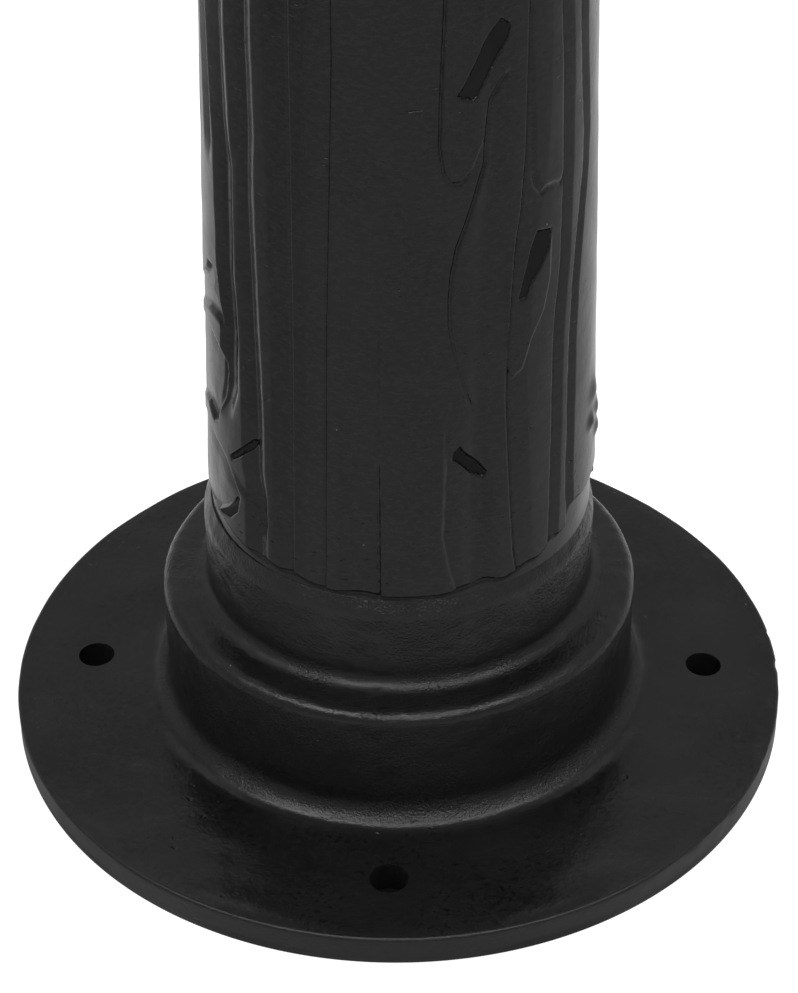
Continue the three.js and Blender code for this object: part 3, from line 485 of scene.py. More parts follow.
def merged(name, pieces):
    """One mesh from several, in one object."""
    work = bmesh.new()
    for piece in pieces:
        work.from_mesh(piece.data)
        bpy.data.objects.remove(piece)
    mesh = bpy.data.meshes.new(name)
    work.to_mesh(mesh)
    work.free()
    return shown(name, mesh)


def place(piece, matrix):
    """Moves a piece's points, with its object left at the origin."""
    piece.data.transform(matrix)
    piece.data.update()
    return piece


def lift(height):
    return Matrix.Translation((0, 0, height * MM))


def clockwise(degrees):
    return Matrix.Rotation(-math.radians(degrees), 4, "Z")


def on_face(end):
    """From a face's own frame, +Z out of the dial and +Y up, to the clock's frame."""
    turn = 0 if end == "front" else math.pi
    return lift(DRUM_CENTRE) @ Matrix.Rotation(turn, 4, "Z") @ TO_FRONT


def settle(piece):
    """Turns a piece's modifiers into its mesh."""
    graph = bpy.context.evaluated_depsgraph_get()
    mesh = bpy.data.meshes.new_from_object(piece.evaluated_get(graph))
    piece.modifiers.clear()
    piece.data = mesh
    return piece


def cut_with(piece, tools, operation="DIFFERENCE", sharp=32.0):
    """Cuts a piece with closed tools, or joins them, and drops the tools."""
    for tool in tools:
        change = piece.modifiers.new("change", "BOOLEAN")
        change.operation = operation
        change.solver = "EXACT"
        change.object = tool
    settle(piece)
    for tool in tools:
        bpy.data.objects.remove(tool)
    return soften(piece, sharp)


def slotted_screw(name, corners, steps, segments, slot_bottom):
    """A screw with a slot across its head."""
    screw = turned_piece(name, corners, steps, segments)
    return cut_with(screw, [bar(block(-6, -0.5, 6, 0.5), slot_bottom, slot_bottom + 3)])


def finished(piece, slot, *nodes, body="clock", at=None, finish=None):
    """Puts a piece in its place, with its material and body, and hides the plain nodes it stands for."""
    if at is not None:
        place(piece, at)
    piece.data.materials.clear()
    piece.data.materials.append(finish or FINISHES[slot])
    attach(piece, body)
    if nodes:
        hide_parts(*nodes)
    return piece


def waves(points, length, seed, count=24):
    """Smooth random lumps about a length across, mostly within -1 and 1."""
    pick = np.random.default_rng(seed)
    total = np.zeros(len(points))
    for _ in range(count):
        way = pick.normal(size=3)
        way *= 2 * math.pi / (length * pick.uniform(0.7, 1.5) * np.linalg.norm(way))
        total += np.cos(points @ way + pick.uniform(0, 2 * math.pi))
    return total / math.sqrt(count)


def lumpy(*layers):
    """A casting's shift, from layers of lumps: their depth and length in millimetres, and a seed."""
    return lambda points, normals: sum(depth * waves(points, length, seed) for depth, length, seed in layers)


def rise(value, width):
    """A smooth step from 0 to 1, centred on 0."""
    share = np.clip(value / width + 0.5, 0, 1)
    return share * share * (3 - 2 * share)


def bell(distance, width):
    return np.exp(-((distance / width) ** 2))


def angle_of(points):
    """Degrees from the front towards the right-hand side."""
    return np.degrees(np.arctan2(points[:, 0], -points[:, 1]))


# The foot casting


def foot_shift(points, normals):
    """Lumps of the casting, its mould seam, and a rim that is a little wavy and chipped."""
    radius = np.hypot(points[:, 0], points[:, 1])
    angle = angle_of(points) + DRAWN_TURN
    height = points[:, 2]
    walls = rise(COLLAR_TOP + 6 - height, 10) * rise(height - FOOT_THICKNESS - 2, 6)
    neck = rise(height - 70, 6)
    side = rise(np.abs(angle) - 35, 30)
    shift = 0.1 * waves(points, 30, 1) + 0.045 * waves(points, 11, 2)
    shift += 0.06 * waves(points, 6, 3) * walls
    shift += neck * (0.03 + 0.06 * side) * waves(points, 4.5, 4)
    seam = bell((angle - SEAM_ANGLE) * radius / RADIAN, 1.3) * (height > FOOT_THICKNESS + 6)
    shift += seam * (0.16 + 0.3 * rise(waves(points, 9, 5), 1.4))
    rim = rise(radius - FOOT_RADIUS + 4, 5)
    chips = rise(waves(points, 8, 6) - 1.1, 0.7) * rise(angle - 40, 20) * rise(125 - angle, 20)
    shift -= rim * (0.35 * rise(waves(points, 60, 7), 2.0) + 0.9 * chips)
    return np.where(height > 1.0, np.minimum(shift, 1.0 - rim), 0.0)


def foot():
    inner = COLLAR_RADIUS - 8
    corners = [
        (inner, 0, 0.5), (FOOT_RADIUS, 0, 0.8), (FOOT_RADIUS, FOOT_THICKNESS, 1.6),
        (COLLAR_RADIUS, FOOT_THICKNESS, 10), (COLLAR_RADIUS, COLLAR_TOP, 4.5),
        (NECK_RADIUS, COLLAR_TOP, 5.5), (NECK_RADIUS, NECK_TOP - 6, 9.0), (NECK_RADIUS - 2.9, NECK_TOP, 0.3),
        (66.3, NECK_TOP, 0.4), (66.3, COLLAR_TOP, 0), (ROD_HOLE, COLLAR_TOP, 0),
        (ROD_HOLE, COLLAR_TOP - 8, 0), (inner, COLLAR_TOP - 8, 4),
    ]
    casting = turned_piece("foot_casting", corners, 8, 360, 1.8, foot_shift)
    drills = []
    for turn in range(4):
        drill = rod(HOLE_RADIUS, -3, FOOT_THICKNESS + 6)
        angle = turn * math.pi / 2
        x, y = HOLE_CIRCLE * math.cos(angle), HOLE_CIRCLE * math.sin(angle)
        drills.append(place(drill, Matrix.Translation((x * MM, y * MM, 0))))
    finished(cut_with(casting, drills), "black_iron", "base_flange", finish=FOOT_IRON)


# The lower column: flutes with leaves and tendrils in low relief. Drawn points are (angle, height).


LINE_3 = [
    (41.5, 345), (41, 317.6), (40.4, 287.7), (39.8, 265.7), (38.2, 246.7), (35.8, 229.7), (34.6, 214.6),
    (33.7, 199.6), (33.4, 176.6), (34.1, 156.7), (34.9, 134.7), (36, 112.8), (37.1, 102.8),
]
LINE_4 = [
    (53.8, 345), (53.8, 312.2), (55.1, 281.4), (54.9, 249.5), (53.9, 220.5), (51.7, 203.4),
    (50.9, 191.4), (50.3, 159.4), (49.7, 126.4), (48.9, 107.4), (47.7, 101.3),
]
TENDRIL = [
    (34.6, 295.5), (32.4, 294.4), (28.6, 287.3), (27.5, 278.3), (26.9, 266.3), (24.6, 258.3),
    (21.7, 248.2), (18.6, 238.2), (17.1, 229.1), (16.5, 220.1), (16.5, 210.2), (17.3, 203.2),
    (19.1, 193.2), (21.4, 182.3), (23.5, 175.4),
]
VALLEY = [
    (29.3, 321.3), (28.9, 291.4), (27, 251.4), (25.2, 211.4), (24.6, 171.4), (24.3, 131.4),
    (24.2, 100.4),
]
LOW_EDGE = [(15.5, 168), (15.4, 153.2), (14.5, 125.2), (16.2, 112.2), (18.2, 102.3)]
STRIP_EDGE = [
    (14.9, 400), (15.4, 323), (14.1, 290), (13.8, 274), (14.9, 265), (17.1, 261.1), (19.9, 261.2),
    (22.4, 264.2),
]
STRIP = STRIP_EDGE + [(27.5, 276.3), (29.4, 301.3), (28.1, 421.1)]
HOOK_EDGE = [
    (43.3, 257), (44, 252.7), (45.6, 250), (48.5, 250.8), (50.8, 250.7), (54, 249.6), (55, 252),
]
HOOK = [(41.8, 331.6)] + HOOK_EDGE + [(54.2, 332.2)]
LOBE = [
    (33.4, 242), (33.5, 193.6), (33.9, 188.6), (35.7, 184.7), (38.8, 186.8), (41.7, 196.9),
    (46.6, 206.1), (49.2, 218.2), (50.2, 242),
]
SCALES = [
    [
        (-58.9, 189.5), (-64, 190), (-70, 189), (-80, 184.6), (-112, 166), (-112, 178), (-84, 194),
        (-74.5, 201), (-72, 204), (-70, 208), (-62, 209), (-60.4, 198),
    ],
    [
        (-112, 162), (-86, 177.5), (-78, 181.5), (-72, 183.4), (-68, 182.5), (-60.5, 179), (-58.2, 174),
        (-58, 170), (-58.7, 164), (-60.3, 157), (-62.5, 147.5), (-66, 145), (-73, 147.5), (-78, 146.5),
        (-84, 143), (-112, 124),
    ],
    [
        (-112, 117), (-84, 137), (-78, 140.5), (-72, 141), (-66, 139), (-60, 137.2), (-56.4, 134.5),
        (-53, 129.5), (-50, 124), (-50.6, 121), (-57.5, 113.4), (-63.4, 108.5), (-69.5, 105.7),
        (-112, 104),
    ],
]
GOUGES = [
    [
        (31.7, 313.9), (34.9, 311.2), (34, 307.4), (28.8, 297.7), (24.6, 290.2), (23, 288.9),
        (18.2, 290.6), (20.2, 293.8), (26.2, 306.5),
    ],
    [
        (44.1, 236.5), (49.8, 234.9), (49.2, 229.4), (45.3, 223), (41.6, 218.3), (40.1, 213.6),
        (37.4, 213.6), (39.1, 220.5), (41.5, 229.9),
    ],
    [
        (19.6, 161.9), (21.1, 158.7), (25.7, 152.8), (28.3, 148.4), (27, 146.8), (23.2, 149.2),
        (19.9, 154), (17.4, 156.8), (17.6, 159.4),
    ],
    [
        (-44.5, 151.2), (-42.2, 151.9), (-44.1, 147.8), (-49.1, 142), (-53.8, 137.2), (-54.8, 138.4),
        (-49, 145.4),
    ],
    [
        (-53.7, 120.4), (-50.4, 121.4), (-51.4, 116.6), (-55.4, 111), (-58.8, 109.6), (-63.4, 108),
        (-57.5, 113.8),
    ],
]
PETAL = [
    (-54.7, 135.1), (-51.6, 134.9), (-44.8, 137.1), (-39.6, 136.9), (-38.4, 129.3), (-38.2, 118.6),
    (-39.7, 110.9), (-42.2, 112.4), (-43.9, 121), (-48.3, 125.3), (-52.5, 128.3),
]
RIDGE = [
    (-51.4, 262), (-51.6, 230.3), (-51.6, 213.8), (-50.3, 201), (-49.5, 187.8), (-50.4, 166.1),
    (-53.9, 152),
]
LOW_RIDGE = [
    (-41.8, 262), (-41.2, 235.6), (-40.3, 209.8), (-39.3, 183.1), (-38.6, 159.5), (-38.6, 140.8),
    (-37.9, 133.9), (-37.7, 122.8), (-37.7, 108),
]
RIGHT_EDGE = [
    (64.4, 345), (64.4, 300), (67, 262), (66.5, 248), (64.5, 236), (62, 222), (60, 206), (58.9, 188),
    (58, 160), (57.6, 130), (58.1, 102),
]
LIPS = [
    (-90, 106), (-69, 106), (-63, 107.5), (-49, 103.9), (-41, 103.1), (-37.8, 104.6), (-33.7, 102.4),
    (-29.8, 104.4), (-23.4, 101.9), (-19.1, 101.2), (-14.1, 101.3), (-7.6, 102.4), (-2.2, 100.9),
    (14.2, 101), (18.3, 101.9), (27.5, 104.4), (31.9, 101.8), (36.7, 102.8), (42.2, 105), (46.1, 103.9),
    (50.8, 109.4), (56.9, 107.9), (62.4, 118), (68.4, 115.5), (90, 116),
]
# Angle, height and size
BUDS = [(79, 152, 5), (83, 142, 4.2), (76, 141, 3.2), (85, 132, 3.6)]
# Flutes, from the front to the side. Each one's form is its wall in millimetres, its share of the full
# depth, the share of the pitch that its ramp takes, and its crevice in millimetres. Then come the line
# that its edge runs into, and the height where it starts and how far it takes to reach its depth.
LEFT_FLUTES = (
    ((0.6, 0.35, 0.6, 0.45), None, 0, 1), ((0.6, 0.5, 0.7, 0.6), None, 0, 1),
    ((5.2, 1.15, 0.95, 0), LOW_RIDGE, 0, 1), ((7.6, 1.35, 0.98, 0), RIDGE, 156, 8),
    ((3.4, 0.9, 0.6, 0), None, 252, 12), ((3, 0.8, 0.5, 0), None, 252, 12),
)
RIGHT_FLUTES = (
    ((0.6, 0.35, 0.6, 0.45), None, 400, 60), ((0.6, 0.4, 0.6, 0.45), None, 400, 60),
    ((0.6, 0.45, 0.7, 0.9), LINE_3, 0, 1), ((1.5, 0.8, 0.5, 0.2), LINE_4, 0, 1),
    ((1, 1, 0.45, 0), RIGHT_EDGE, 0, 1), ((3, 0.8, 0.5, 0), None, 345, 50),
)


def drawn(points, height):
    """Angle of a drawn line at a height."""
    order = sorted(points, key=lambda point: point[1])
    return np.interp(height, [p[1] for p in order], [p[0] for p in order])


def from_line(points, angle, height, radius=70.0):
    """Distance from a drawn line, in millimetres."""
    scale = radius * math.pi / 180
    across = angle * scale
    best = np.full(angle.shape, 1e9)
    for (a0, z0), (a1, z1) in zip(points, points[1:]):
        x0, dx, dz = a0 * scale, (a1 - a0) * scale, z1 - z0
        share = np.clip(((across - x0) * dx + (height - z0) * dz) / (dx * dx + dz * dz), 0, 1)
        best = np.minimum(best, np.hypot(across - x0 - share * dx, height - z0 - share * dz))
    return best


def inside(outline, angle, height, radius=70.0):
    """How far inside a drawn outline a point lies, in millimetres; outside is negative."""
    closed = outline + outline[:1]
    within = np.zeros(angle.shape, bool)
    for (a0, z0), (a1, z1) in zip(closed, closed[1:]):
        if z1 != z0:
            crosses = (z0 > height) != (z1 > height)
            within ^= crosses & (angle < a0 + (height - z0) * (a1 - a0) / (z1 - z0))
    distance = from_line(closed, angle, height, radius)
    return np.where(within, distance, -distance)


def crevice(distance, width=0.6, depth=0.6):
    return -depth * bell(distance, width)


def groove(turn, edge, pitch, radius, form):
    """Depth of one flute in millimetres, at angles out from the front."""
    wall, share, ramp, line = form
    scale = radius * math.pi / 180
    past = (turn - edge) * scale
    slope = np.clip((edge + ramp * pitch - turn) / np.maximum(ramp * pitch - wall / scale, 1), 0, 1)
    fall = 0.35 * rise(past - wall / 2, wall) + 0.65 * np.clip(past / wall, 0, 1)
    depth = share * FLUTE_DEPTH * radius / COLUMN_BOTTOM_RADIUS * fall * slope
    return depth + line * bell(past - wall + 0.1, 0.45)


def front_relief(angle, height, radius):
    """Height of the drawn features, on a base of flutes, for angles near the front."""
    scale = radius * math.pi / 180
    valley, tendril = drawn(VALLEY, height), drawn(TENDRIL, height)
    along = rise(height - 178, 8) * rise(295 - height, 3)
    leaf = np.clip((valley + 1 - angle) / np.maximum(valley + 1 - tendril, 2), 0, 1)
    shape = 0.6 * rise((angle - tendril) * scale - 0.4, 1.0) * leaf * along
    shape += crevice(from_line(TENDRIL, angle, height), 0.65, 0.6) * rise(height - 176, 6)
    dip = bell(angle - valley, 3.4) * rise(318 - height, 30)
    shape -= dip * (0.75 + 0.5 * rise(182 - height, 40))
    strip = rise(inside(STRIP, angle, height) - 0.3, 0.6) * np.clip((29 - angle) / 9, 0, 1)
    shape += 0.6 * strip * rise(400 - height, 60)
    shape += crevice(from_line(STRIP_EDGE, angle, height), 0.6, 0.55) * rise(405 - height, 20)
    past = (angle - drawn(LOW_EDGE, height)) * scale
    step = rise(past - 0.4, 0.6) * np.clip((31.5 - angle) / 5, 0, 1)
    shape -= 1.2 * step * rise(160 - height, 26)
    shape += crevice(from_line(LOW_EDGE, angle, height))
    shape += 0.5 * rise(inside(HOOK, angle, height), 1.4) * rise(305 - height, 60)
    shape += crevice(from_line(HOOK_EDGE, angle, height), 0.9, 0.7)
    shape += 0.8 * rise(inside(LOBE, angle, height), 1.2) * rise(230 - height, 20)
    seam = (SEAM_ANGLE - angle) * scale
    fade = rise(212 - height, 6)
    beside = rise(seam, 0.6) * np.clip((angle + 14.5) / 4, 0, 1)
    shape -= beside * (0.2 + 0.9 * rise(150 - height, 40)) * fade
    notches = 0.4 + 0.6 * rise(np.sin(height * 0.9) + np.sin(height * 0.37 + 2), 1.5)
    shape -= 0.55 * bell(seam - 0.4, 0.5) * notches * fade
    return shape


def left_relief(angle, height):
    """The scaly leaf at the left, whose scales end in sharp arcs, the soft valley and the petal beside
    it, and the buds at the right edge."""
    valley = drawn(RIDGE, height) - 3.5
    shape = -1.1 * bell(angle - valley, 3.0) * rise(256 - height, 12) * rise(height - 158, 20)
    turning = np.interp(angle, [-84, -66], [0.3, 1.0])
    for scale in SCALES:
        depth = inside(scale, angle, height)
        shape -= 1.9 * rise(depth - 0.6, 2.2) * (0.75 + 0.25 * rise(6 - depth, 8)) * turning
    petal = rise(inside(PETAL, angle, height) - 1.4, 4.0) * rise(131 - height, 14)
    shape -= (0.3 + 1.5 * np.clip((angle + 54) / 14, 0, 1)) * petal
    for side, middle, size in BUDS:
        shape += 1.3 * bell(np.hypot((angle - side) * 1.22, height - middle), size)
    return shape


def flutes(angle, height, radius):
    """Depth of the flutes. Lower down, their edges run into the drawn lines."""
    first = np.interp(height, FLUTE_HEIGHTS, FIRST_FLUTE)
    pitch = np.interp(height, FLUTE_HEIGHTS, FLUTE_PITCH)
    depth = np.zeros(angle.shape)
    for side, drawn_part, row in (
        (-1, rise(262 - height, 20), LEFT_FLUTES), (1, rise(345 - height, 50), RIGHT_FLUTES),
    ):
        for k, (form, line, bottom, fade) in enumerate(row):
            edge = first + k * pitch
            if line:
                edge += (side * drawn(line, height) - edge) * drawn_part
            flute = groove(angle * side, edge, pitch, radius, form)
            depth = np.maximum(depth, flute * rise(height - bottom, fade))
    return depth


def both_halves(angle):
    """Angles from the front, and from the back."""
    return angle, (angle + 360) % 360 - 180


def gouge_depth(angle, height):
    """How deep the gouges between the leaves cut, in millimetres."""
    depth = np.zeros(angle.shape)
    for toward in both_halves(angle):
        near = (np.abs(toward) < 66) & (height > 100) & (height < 325)
        for gouge in GOUGES:
            cut = GOUGE_DEPTH * rise(inside(gouge, toward[near], height[near]) - 0.5, 1.8)
            depth[near] = np.maximum(depth[near], cut)
    return depth


def gouge_shade_floors(points, depth):
    """Thin dark floors part of the way down the gouges, dull to paint the shade in them; points[row,
    column].
    """
    rows, count = depth.shape
    cut = depth > 0.08 * GOUGE_DEPTH
    cut = cut & np.roll(cut, -1, 1)
    faces = ring_faces(rows, count).reshape(rows, count, 4)[:-1][cut[:-1] & cut[1:]]
    used, faces = np.unique(faces, return_inverse=True)
    piece = mesh_of("gouge_shade_floors", points.reshape(-1, 3)[used], faces.reshape(-1, 4).tolist())
    thick = piece.modifiers.new("thick", "SOLIDIFY")
    thick.thickness = 0.5 * MM
    thick.offset = -1
    finished(settle(piece), "black_iron", finish=GOUGE_SHADE_PAINT)


def column_relief(angle, height, radius):
    """How far the column's skin stands out from its taper, in millimetres."""
    depth = FLUTE_DEPTH * radius / COLUMN_BOTTOM_RADIUS
    shape = np.zeros(angle.shape)
    for toward in both_halves(angle):
        near = np.abs(toward) < 90
        a, z, r = toward[near], height[near], radius[near]
        lips = sum(np.interp(a + aside, *zip(*LIPS)) for aside in (-2, -1, 0, 1, 2)) / 5
        reliefs = front_relief(a, z, r) + left_relief(a, z) - flutes(a, z, r)
        above = rise(z - lips, 1.1)
        under = 0.7 * bell(z - lips + 1.2, 0.7)
        shape[near] = reliefs * above - (depth[near] + under) * (1 - above)
    around = (angle < -90) & (angle > -101) & (height > 106) & (height < 212)
    a = angle[around]
    shape[around] += left_relief(a, height[around]) * np.clip((a + 100) / 8, 0, 1)
    return shape


def column_piece(name, bore, points, normals):
    """A stretch of the column: its carved skin, a plain bore and flat ends."""
    inner = points[[-1, 0]].copy()
    reach = np.array(bore)[::-1, None] / np.hypot(inner[:, :, 0], inner[:, :, 1])
    inner[:, :, :2] *= reach[:, :, None]
    grid = np.concatenate([points, inner])
    faces = ring_faces(len(grid), grid.shape[1]).tolist()
    piece = mesh_of(name, grid.reshape(-1, 3), faces)
    given = np.concatenate([normals, np.zeros(inner.shape)]).reshape(-1, 3)
    piece.data.normals_split_custom_set_from_vertices(given.tolist())
    return piece


def lower_column():
    heights = np.concatenate([
        np.arange(COLUMN_BOTTOM - 0.7, 118, 0.5), np.arange(118, 330, 0.8),
        np.arange(330, COLUMN_TOP, 4.0), [COLUMN_TOP],
    ])
    angles = np.concatenate([np.arange(-86, 86, 0.34), np.arange(86, 274, 0.8)])
    angle, height = np.meshgrid((angles + 180) % 360 - 180, heights)
    low_part = rise(COLUMN_TOP - 60 - height, 200)
    taper = np.interp(height, COLUMN_ENDS, [COLUMN_BOTTOM_RADIUS, COLUMN_TOP_RADIUS])
    radius = taper + COLUMN_SWELL * low_part
    cut = gouge_depth(angle + DRAWN_TURN, height)
    turn = np.radians(angle)
    spin = np.stack([np.sin(turn), -np.cos(turn)], 2)
    flat = np.concatenate([spin * radius[:, :, None], height[:, :, None]], 2).reshape(-1, 3)
    lumps = (0.07 * waves(flat, 26, 11) + 0.03 * waves(flat, 9, 12)).reshape(radius.shape)
    reach = radius + column_relief(angle + DRAWN_TURN, height, radius) + lumps
    lean = low_part[:, :, None] * np.array(COLUMN_OFFSET)

    def at_radius(reach):
        return np.concatenate([spin * reach[:, :, None] + lean, height[:, :, None]], 2)

    # Dark dull floors part of the way down the gouges are painted shade.
    gouge_shade_floors(at_radius(reach - np.minimum(cut * 0.6, GOUGE_DEPTH * 0.22)), cut)
    points = at_radius(reach - cut)
    across = np.roll(points, -1, 1) - np.roll(points, 1, 1)
    normals = np.cross(across, np.gradient(points, heights, axis=0))
    normals /= np.linalg.norm(normals, axis=2)[:, :, None]
    breaks = [heights[0], 158, 245, 330, COLUMN_TOP]
    names = ("column_foot_leaves", "column_middle_leaves", "column_upper_leaves", "column_shaft")
    for name, low, high in zip(names, breaks, breaks[1:]):
        first, last = np.searchsorted(heights, low - 1e-6), np.searchsorted(heights, high - 1e-6)
        part = slice(first, min(last, len(heights) - 1) + 1)
        bore = np.interp(heights[part][[0, -1]], COLUMN_ENDS, COLUMN_BORE)
        piece = column_piece(name, bore, points[part], normals[part])
        finished(piece, "black_iron", "lower_column")


# The post


def cap():
    corners = [
        (ROD_HOLE, -26, 0), (39.2, -26, 0.6), (39.2, 0, 0), (50, 0, 2), (57.2, 2.5, 4), (58, 8, 8),
        (57.2, 13.5, 4), (50, 16, 1.5), (46.5, 17.5, 3), (43.2, 28, 14), (46.5, 38, 3), (50, 40, 1.2),
        (50, 49, 1.6), (41.5, 51, 3), (38, 62, 12), (38, 85, 2), (41, 88, 1.4), (41, 96, 1.2),
        (30.3, 96, 0.5), (30.3, 66, 0), (ROD_HOLE, 66, 0),
    ]
    piece = turned_piece("cap_casting", corners, 6, 224, 2.0, lumpy((0.08, 22, 21), (0.03, 8, 22)))
    finished(piece, "black_iron", "column_cap", at=lift(COLUMN_TOP + 0.3))


def upper_post():
    radius, depth, count = 30.0, 1.6, 12
    half = 5.0 / radius
    low, high = POST_ENDS
    angles = np.arange(count * 26) * 2 * math.pi / (count * 26)
    near = (angles + half * 2) % (2 * math.pi / count) - half * 2
    skin = radius - depth * np.clip(1 - (near / half) ** 2, 0, 1) ** 0.8
    bore = np.full(len(angles), 22.0)
    loops = [(low, bore), (low, skin - 0.6), (low + 0.6, skin), (high - 0.6, skin), (high, skin - 0.6),
             (high, bore)]
    points = [
        np.stack([reach * np.cos(angles), reach * np.sin(angles), np.full(len(angles), height)], 1)
        for height, reach in loops
    ]
    faces = ring_faces(len(loops), len(angles)).tolist()
    finished(mesh_of("upper_post_tube", np.concatenate(points), faces), "black_steel", "upper_post")


def middle_ring():
    corners = [
        (30.3, -27, 0.4), (37, -27, 1.2), (37, -18.4, 1.6), (40.5, -9.5, 2), (43.4, -5, 4), (44, 0, 6),
        (43.4, 5, 4), (40.5, 9.5, 2), (37, 18.4, 1.6), (37, 27, 1.2), (30.3, 27, 0.4),
    ]

    def shift(points, normals):
        return (normals[:, 0] ** 2 + normals[:, 1] ** 2 > 0.02) * 0.05 * waves(points, 14, 31)

    piece = turned_piece("ring_casting", corners, 5, 160, 1.6, shift)
    place(piece, lift(RING_MIDDLE))
    cut_with(piece, [place(rod(3.4, 25, 50), RING_SCREW)])
    finished(piece, "black_iron", "post_ring")
    corners = [(0, 30.3, 0), (3, 30.3, 0.4), (3, 40.3, 0.7), (0, 40.3, 0)]
    screw = slotted_screw("ring_grub_screw", corners, 3, 48, 38.6)
    finished(screw, "zinc_steel", "post_ring_screw", at=RING_SCREW)


def bracket():
    """Socket, bead, bell, and a saddle that the drum lies in."""
    corners = [
        (30.3, 0, 0.5), (38, 0, 1.2), (38, 35, 1.5), (43, 36, 2), (45.6, 40, 3), (46, 44, 5),
        (45.6, 48, 3), (43, 52, 2), (38, 53, 1.5), (37.6, 60, 8), (44, 74, 16), (65.5, 94, 2),
        (66, 100, 0), (ROD_HOLE, 100, 0), (ROD_HOLE, 35, 0), (30.3, 35, 0),
    ]
    piece = turned_piece("bracket_casting", corners, 6, 192, 2.2, lumpy((0.07, 20, 41), (0.03, 8, 42)))
    plan = rounded([(x, y, 9) for x, y in block(-85, -48, 85, 48)], 8)
    cut_with(piece, [bar(plan, 94, 136.5, 2.2)], "UNION")
    seat = place(rod(DRUM_RADIUS + 0.3, -120, 120, 288), lift(118 + DRUM_RADIUS + 0.3) @ TO_FRONT)
    cut_with(piece, [seat, rod(20, 92, 130), rod(ROD_HOLE, 0, 118)], sharp=34)
    finished(piece, "black_aluminium", "head_bracket", at=lift(BRACKET_BOTTOM))


def finial():
    turns = np.radians(np.linspace(-52, 68, 25))
    ball = [(27 * math.cos(turn), 260 + 27 * math.sin(turn), 0) for turn in turns]
    corners = [
        (0, 191, 0), (36, 191, 0), (36, 212, 2.5), (33, 215, 2), (24, 219, 4), (17, 221, 3),
        (12, 226, 5), (12, 232, 2), (14, 236.5, 1.5), *ball, (6, 287, 1.5), (6, 290, 1), (13, 290.6, 1),
        (18, 291.2, 1.2), (18, 293.8, 1.4), (12, 295.2, 2), (7.2, 301, 6), (4.2, 318, 20), (1.6, 338, 1),
        (0, 343, 0.5),
    ]

    def shift(points, normals):
        return np.hypot(points[:, 0], points[:, 1]) / 36 * 0.06 * waves(points, 12, 51)

    piece = turned_piece("finial_casting", corners, 6, 160, 1.6, shift)
    cut_with(piece, [place(rod(DRUM_RADIUS + 0.3, -70, 70, 288), TO_FRONT)], sharp=34)
    finished(piece, "black_aluminium", "finial", at=lift(DRUM_CENTRE))


# The drum and its two faces, in a face's own frame


def drum():
    half = [(205, 61.5, 3), (206.2, 62.4, 1.2), (208, 64.8, 1.4), (208, 70, 1.1), (201, 70, 0.7),
            (201, 47, 0.3), (182, 47, 0.4), (182, 44, 0.4), (201, 44, 0.3)]
    corners = [(radius, -level, edge) for radius, level, edge in reversed(half)] + half

    def shift(points, normals):
        return 0.12 * waves(points * np.array([1, 1, 0.3]), 90, 61)

    shell = turned_piece("drum_shell", corners, 4, FACE_SEGMENTS, 12, shift)
    parts = [place(shell, on_face("front"))]
    parts += [place(lug(side), on_face(end)) for end in ENDS for side in (1, -1)]
    finished(merged("drum_shell", parts), "black_aluminium", "clock_case", finish=DRUM_PAINT)


def barrel(low, high):
    """A hinge knuckle about the pin, up along Y of the face's frame."""
    corners = [(2.55, low, 0.3), (5, low, 0.5), (5, high, 0.5), (2.55, high, 0.3)]
    return place(turned_piece("barrel", corners, 3, 48), PIN)


def lug(side):
    """One of the drum's knuckles above or below the bezel's own, with its web."""
    low, high = (10.3, 30.3) if side > 0 else (-30.3, -10.3)
    web = [(203.2, 50, 0), (218.5, 65, 2), (222.9, 73, 2), (220.6, 73.4, 0), (216, 72.4, 0),
           (213.6, 70, 0), (203.2, 65, 0)]
    web = place(bar(rounded(web, 4), -high + 0.4, -low - 0.4, 0.5), TO_FRONT)
    return merged("lug", [web, barrel(low, high)])


def numeral(letters):
    """Bars of a Roman numeral, centred, feet at zero, 33 high."""
    height, thick, thin, serif = 33.0, 4.6, 1.5, 1.4
    widths = {"I": 8.6, "V": 19.0, "X": 19.0}

    def stroke(foot, head, width):
        width = width / 2
        return [(foot - width, 0), (foot + width, 0), (head + width, height), (head - width, height)]

    bars = []
    x = -sum(widths[letter] for letter in letters) / 2
    for letter in letters:
        width = widths[letter]
        left, middle, right = x + 2.9, x + width / 2, x + width - 2.9
        bars += {
            "I": [stroke(middle, middle, thick)],
            "V": [stroke(middle - 0.2, left, thick), stroke(middle + 0.4, right, thin)],
            "X": [stroke(right, left, thick), stroke(left, right, thin)],
        }[letter]
        if letter != "V":
            bars.append(block(x + 0.5, 0, x + width - 0.5, serif))
        bars.append(block(x + 0.5, height - serif, x + width - 0.5, height))
        x += width
    return bars


